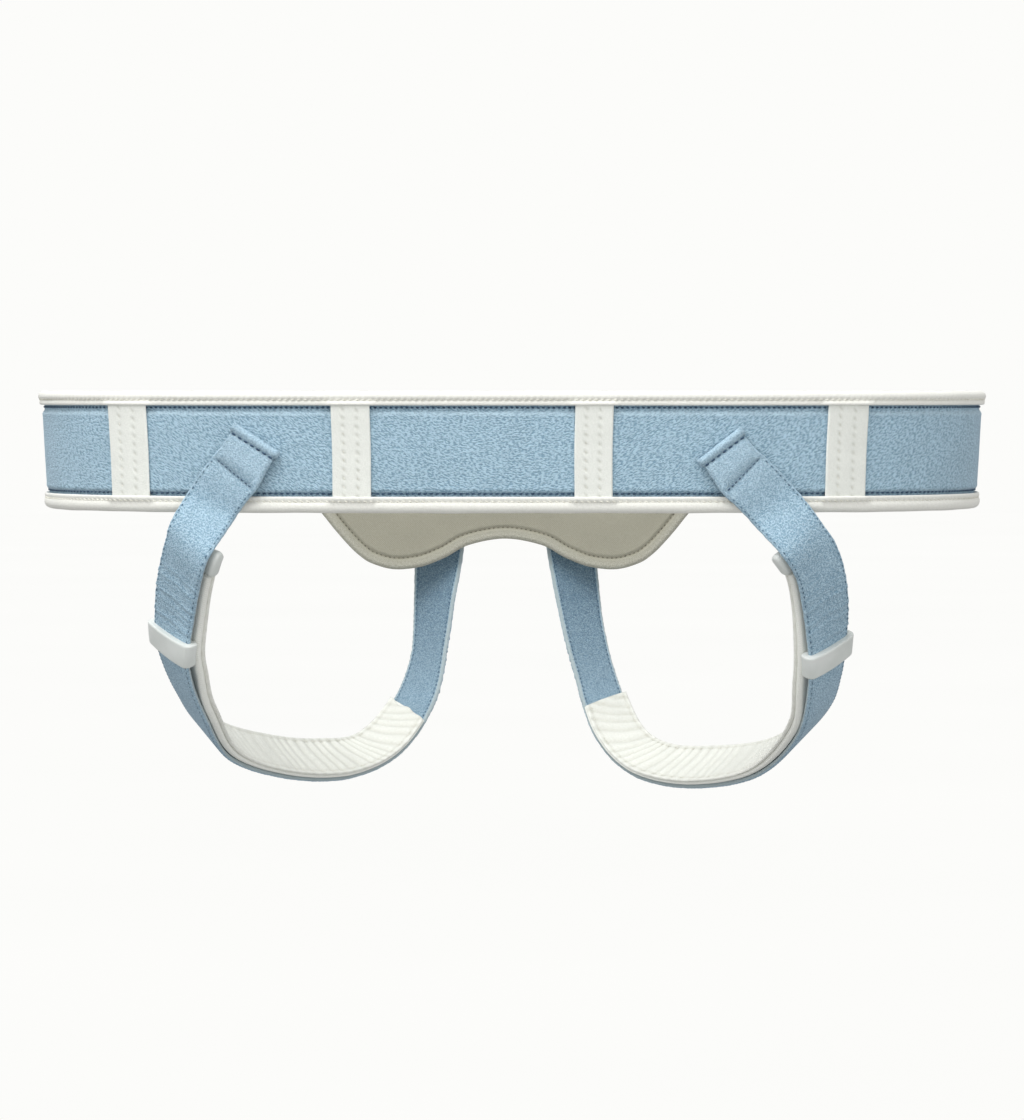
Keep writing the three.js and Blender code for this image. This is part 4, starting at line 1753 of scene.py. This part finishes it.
    def lining(self) -> list[bpy.types.Object]:
        """The cream lining: a smooth backing, a softer facing with ribs, and its stitches.

        Returns:
            The backing, the facing and the stitches.
        """
        length = self.lining_to - self.lining_from
        middle = (self.lining_to + self.lining_from) / 2
        path, width = self.path, self.lining_width

        def run(along: Array, across: Array, out: Array) -> Array:
            """Bends the flat lining along the inner face of the strap, fuller at its front."""
            place, share = along + middle, along / length + 0.5
            front, below, far = self.fullness
            full = front + (below - front) * smooth_step(0.25, 0.55, share)
            full = full + (far - below) * smooth_step(0.7, 0.95, share)
            return path.place(place, across, -STRAP_THICKNESS / 2 - self._standoff(place) + out * full)

        backing = FlatCloth(width + 1.2 * MM, length, columns=30, rows=420, crowd=0.75)
        share = backing.y / length + 0.5
        out = backing.rounded(self.backing_thickness, 1.3 * MM) - self.backing_thickness / 2
        out = out + ripple(backing.y, (0.007, 0.019), 0.9) * 0.04 * MM
        backing.y = backing.y + self._end_skew(backing.x) * smooth_step(0.8, 1.0, share)
        wear_and_highlight = ridge(backing.inset(), 0, 0.8 * MM) * 0.4
        name = f"strap_lining_{self.end}"
        base = backing.piece(Relief(out, wear_and_highlight), run, name + "_backing", CREAM_LINING, "cream_lining")
        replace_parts(base, name)
        facing = self._facing(name, run, length, width)
        rows = Stitches(length=1.2 * MM, width=0.4 * MM, height=0.35 * MM, pitch=2.1 * MM)
        for side in (-1, 1):
            line, end = side * (width / 2 - self.lining_stitch), length / 2 - 4 * MM
            rows.row(line, -end, end, -3.75 * MM, run)
        if not self.wavy_end:
            across = np.linspace(2 * MM - width / 2, width / 2 - 2 * MM, 9)
            along = length / 2 - 3.0 * MM + self._end_skew(across)
            rows.add(across, along, np.array(1.3), np.array(-4.0 * MM), run)
        return [base, facing, rows.piece(name + "_stitches", CREAM_THREAD, "cream_lining")]

    def _end_skew(self, across: Array) -> Array:
        """How much further the lining's far end reaches, from its outer to its inner edge."""
        outer, inner = self.end_reach
        return outer + (inner - outer) * (across / self.lining_width + 0.5)

    def _facing(self, name: str, run: Place, length: float, width: float) -> bpy.types.Object:
        """The soft inner layer of the lining, with ribs that grow towards its far end.

        Args:
            name: the lining's name.
            run: bends the flat lining.
            length: the length of the flat cloth.
            width: the lining's width.

        Returns:
            The piece.
        """
        cloth = FlatCloth(width + 0.9 * MM, length - 0.6 * MM, columns=40, rows=640, crowd=0.75)
        share = cloth.y / length + 0.5
        half = cloth.rounded(2.0, 0.8 * MM)  # from -1 to 1 through the layer
        cut = self._end_skew(cloth.x)
        if self.wavy_end:
            cut = cut + (ripple(cloth.x, (0.017, 0.0095), 1.1) * 1.5 - 0.4) * MM
        cloth.y = cloth.y + cut * smooth_step(0.8, 1.0, share)
        edge = width / 2 - np.abs(cloth.x)
        crown = 1 - (2 * cloth.x / width) ** 2
        thick = 1.45 * MM + 0.4 * MM * crown
        far = smooth_step(0.5, 0.86, share)
        slant = cloth.y + ripple(cloth.x, (0.019, 0.031), 0.3) * 0.9 * MM + 0.12 * cloth.x
        drift = ripple(cloth.y, (0.03, 0.047), 0.2) * 2.2
        furrows = 0.5 - 0.5 * np.sin(TURN * slant / self.rib_pitch + drift)
        fine = ripple(slant, (1.7 * MM, 2.6 * MM), 1.9)
        depth = (1.3 * far + 0.25) * furrows * smooth_step(0.0, 3.0 * MM, edge) + fine * 0.05
        stitched = ridge(edge, self.lining_stitch, 0.6 * MM)
        surface = 0.05 * MM - self.backing_thickness - thick / 2 + half * thick / 2
        out = surface + np.where(cloth.face < 0, (depth + stitched * 0.3) * MM, 0.0)
        # painted shade in the rib furrows, deeper towards the far end, and along the stitch lines
        seam = stitched * 0.35 + furrows**2 * (0.15 + far * 0.3)
        relief = Relief(out, ridge(edge, 0, 0.8 * MM) * 0.3, seam)
        piece = cloth.piece(relief, run, name + "_facing", CREAM_TERRY, "cream_lining")
        return piece

    def _bar(
        self, half: tuple[float, float], hole: tuple[float, float], depth: float, corner: float, edge: float
    ) -> bmesh.types.BMesh:
        """A rounded block with a hole through it along z.

        Args:
            half: half its sizes in x and y.
            hole: half the hole's sizes in x and y.
            depth: its size in z, from 0.
            corner: the radius of its four upright corners.
            edge: the radius of its rims.

        Returns:
            The shape.
        """
        bm = bmesh.new()
        bmesh.ops.create_grid(bm, x_segments=1, y_segments=1, size=1.0)
        bmesh.ops.inset_region(bm, faces=bm.faces[:], thickness=0.3, use_even_offset=True)
        for vert in bm.verts:
            size = hole if abs(vert.co.x) < 0.9 else half
            vert.co.x, vert.co.y = math.copysign(size[0], vert.co.x), math.copysign(size[1], vert.co.y)
        inner = [f for f in bm.faces if all(abs(v.co.x) <= hole[0] + 1e-7 for v in f.verts)]
        bmesh.ops.delete(bm, geom=inner, context="FACES")
        made = bmesh.ops.extrude_face_region(bm, geom=bm.faces[:])["geom"]
        raised = [item for item in made if isinstance(item, bmesh.types.BMVert)]
        bmesh.ops.translate(bm, vec=(0.0, 0.0, depth), verts=raised)
        bmesh.ops.recalc_face_normals(bm, faces=bm.faces[:])
        for radius, segments, for_corners in ((corner, 6, True), (edge, 4, False)):
            sharp = [e for e in bm.edges if e.calc_face_angle(0) > 0.5]
            upright = [e for e in sharp if abs(e.verts[0].co.z - e.verts[1].co.z) > depth / 2]
            outer = [e for e in upright if abs(e.verts[0].co.x) > hole[0] + 1e-6]
            rims = [e for e in sharp if e not in set(upright)]
            bmesh.ops.bevel(
                bm, geom=outer if for_corners else rims, offset=radius, segments=segments, profile=0.5,
                affect="EDGES", material=-1, clamp_overlap=True,
            )
        return bm

    @staticmethod
    def _slice(bm: bmesh.types.BMesh, axis: int, start: float, end: float, cuts: int) -> None:
        """Cuts a shape at even places along an axis, so that it can bend.

        Args:
            bm: the shape.
            axis: its number, 0 for x.
            start: where the shape starts on it.
            end: where it ends.
            cuts: how many parts there are to be.
        """
        for number in range(1, cuts):
            spot, normal = [0.0, 0.0, 0.0], [0.0, 0.0, 0.0]
            spot[axis], normal[axis] = start + (end - start) * number / cuts, 1.0
            geom = [*bm.verts, *bm.edges, *bm.faces]
            bmesh.ops.bisect_plane(bm, geom=geom, dist=1e-7, plane_co=spot, plane_no=normal)

    def loop(self) -> bpy.types.Object:
        """The plastic loop round the strap.

        Returns:
            The piece.
        """
        hole = (self.width / 2 + LAYER_GAP, STRAP_THICKNESS / 2 + LAYER_GAP)
        half = (hole[0] + self.loop_side_bar, hole[1] + self.loop_bar)
        bm = self._bar(half, hole, self.loop_width, corner=2.4 * MM, edge=0.75 * MM)
        self._slice(bm, 0, -half[0], half[0], 14)
        self._slice(bm, 2, 0.0, self.loop_width, 8)
        flat = points_of(bm)
        curl = (np.abs(flat[:, 0]) / half[0]) ** 2 * -self.loop_curl
        belly = np.maximum(flat[:, 1], 0) / half[1] * (1 - (flat[:, 0] / half[0]) ** 2) * self.loop_belly
        along = self.loop_at - self.loop_width / 2 + flat[:, 2] + curl
        move_points(bm, self.path.place(along, flat[:, 0], flat[:, 1] + belly))
        piece = new_piece(bm, f"strap_loop_{self.end}_moulding", WHITE_PLASTIC)
        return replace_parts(piece, f"strap_loop_{self.end}")

    def glide(self) -> bpy.types.Object:
        """The slotted plastic bar at the upper end of the lining.

        Returns:
            The piece.
        """
        half, slot = (self.glide_thickness / 2, self.glide_length / 2), (0.8 * MM, 2.6 * MM)
        width = self.lining_width + 2 * self.glide_overhang
        bm = self._bar(half, slot, width, corner=2.7 * MM, edge=1.7 * MM)
        self._slice(bm, 1, -half[1], half[1], 8)
        self._slice(bm, 2, 0.0, width, 14)
        flat = points_of(bm)
        middle = self.lining_from - LAYER_GAP - self.glide_seat[0]
        out = -STRAP_THICKNESS / 2 - LAYER_GAP - self.loop_bar - LAYER_GAP - self.glide_seat[1]
        move_points(bm, self.path.place(middle + flat[:, 1], flat[:, 2] - width / 2, out - flat[:, 0]))
        piece = new_piece(bm, f"strap_glide_{self.end}_moulding", WHITE_PLASTIC)
        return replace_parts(piece, f"strap_glide_{self.end}")


# The studio


@dataclass(frozen=True)
class SoftLight:
    """A square light: its place, what it points at, its side and its power in watts."""

    name: str
    place: tuple[float, float, float]
    target: tuple[float, float, float]
    side: float
    power: float

    def build(self) -> None:
        """Makes the light."""
        data = bpy.data.lights.new(self.name, "AREA")
        data.size, data.energy = self.side, self.power
        light = bpy.data.objects.new(self.name, data)
        light.location = self.place
        turn = (Vector(self.target) - Vector(self.place)).to_track_quat("-Z", "Y")
        light.rotation_euler = turn.to_euler()
        bpy.context.scene.collection.objects.link(light)


@dataclass
class Studio:
    """A pale floor, soft lights and the camera."""

    camera_back: float = 2.0
    camera_height: float = 24.4 * MM
    tilt: float = 1.993  # degrees below level
    lens: float = 158.88
    floor_level: float = -0.5
    floor_size: float = 40.0
    light_below: float = 0.5  # strength of the light from all round, below and above
    light_above: float = 0.95
    lights: tuple[SoftLight, ...] = (
        SoftLight("overhead_light", (-0.5, -0.7, 1.4), (0.0, 0.0, 0.0), 1.0, 19.5),
        SoftLight("left_light", (-1.4, -1.6, 0.9), (0.0, 0.0, -0.02), 1.0, 4.0),
        SoftLight("right_light", (1.5, -1.5, 0.8), (0.0, 0.0, -0.02), 1.2, 5.0),
        SoftLight("low_light", (0.0, -2.4, -0.4), (0.0, 0.0, 0.0), 1.4, 7.5),
    )

    def build(self) -> None:
        """Makes them all."""
        bpy.context.scene.view_settings.view_transform = "Standard"
        self._camera()
        self._floor()
        self._world()
        for light in self.lights:
            light.build()

    def _camera(self) -> None:
        """The camera at the photograph's angle."""
        data = bpy.data.cameras.new("camera")
        data.lens = self.lens
        data.sensor_width = 36.0
        camera = bpy.data.objects.new("camera", data)
        camera.location = (0.0, -self.camera_back, self.camera_height)
        camera.rotation_euler = (math.radians(90 - self.tilt), 0.0, 0.0)
        bpy.context.scene.collection.objects.link(camera)
        bpy.context.scene.camera = camera

    def _floor(self) -> None:
        """A wide white floor below the belt."""
        bench = NodeBench("white_floor")
        place = bench.add("TexCoord", {}, {}, "Object")
        cloud = bench.noise(place, 1.5, detail=1.0)
        colour = bench.mix(cloud, linear((251, 251, 249)), linear((253, 253, 251)))
        bench.add_output(bench.add("Emission", {}, {"Color": colour, "Strength": 1.0}))
        bm = bmesh.new()
        bmesh.ops.create_grid(bm, x_segments=8, y_segments=8, size=self.floor_size / 2)
        bmesh.ops.translate(bm, vec=(0.0, 0.0, self.floor_level), verts=bm.verts[:])
        floor = into_scene(bm, "floor", bench.material)
        floor.visible_diffuse = floor.visible_glossy = False

    def _world(self) -> None:
        """Soft light from all round, brighter from above, in front of a white background."""
        world = bpy.data.worlds.new("studio")
        world.use_nodes = True
        bpy.context.scene.world = world
        tree = world.node_tree
        tree.nodes.clear()
        coord = tree.nodes.new("ShaderNodeTexCoord")
        parts = tree.nodes.new("ShaderNodeSeparateXYZ")
        tree.links.new(coord.outputs["Generated"], parts.inputs[0])
        ramp = tree.nodes.new("ShaderNodeMapRange")
        ends = {"From Min": -1.0, "From Max": 1.0, "To Min": self.light_below, "To Max": self.light_above}
        for key, value in ends.items():
            ramp.inputs[key].default_value = value
        tree.links.new(parts.outputs["Z"], ramp.inputs["Value"])
        soft, white = tree.nodes.new("ShaderNodeBackground"), tree.nodes.new("ShaderNodeBackground")
        tree.links.new(ramp.outputs["Result"], soft.inputs["Strength"])
        white.inputs["Color"].default_value = linear((252, 252, 250))
        path, mix = tree.nodes.new("ShaderNodeLightPath"), tree.nodes.new("ShaderNodeMixShader")
        tree.links.new(path.outputs["Is Camera Ray"], mix.inputs[0])
        tree.links.new(soft.outputs[0], mix.inputs[1])
        tree.links.new(white.outputs[0], mix.inputs[2])
        output = tree.nodes.new("ShaderNodeOutputWorld")
        tree.links.new(mix.outputs[0], output.inputs["Surface"])


def report(pieces: Iterable[bpy.types.Object]) -> None:
    """Logs each piece with its number of triangles.

    Args:
        pieces: finished pieces.
    """
    for piece in pieces:
        piece.data.calc_loop_triangles()
        LOG.info("%s: %d triangles", piece.name, len(piece.data.loop_triangles))


def main() -> None:
    """Builds the belt, piece by piece, and the studio."""
    logging.basicConfig(level=logging.INFO, format="%(name)s: %(message)s")
    Studio().build()
    tapes = Tapes()
    report(Waistband(tape_places=tapes.spans()).build())
    report(tapes.build())
    report(ClosureFlap().build())
    report(GroinPad().build())
    straps = (
        LegStrap("left", LEFT_ROUTE, cross_seam=16.5 * MM, wavy_end=True, end_reach=(-1 * MM, 15 * MM)),
        LegStrap("right", RIGHT_ROUTE, cross_seam=15.2 * MM, wavy_end=False, end_reach=(-5 * MM, 7 * MM)),
    )
    for strap in straps:
        report(strap.build())


if __name__ == "__main__":
    main()
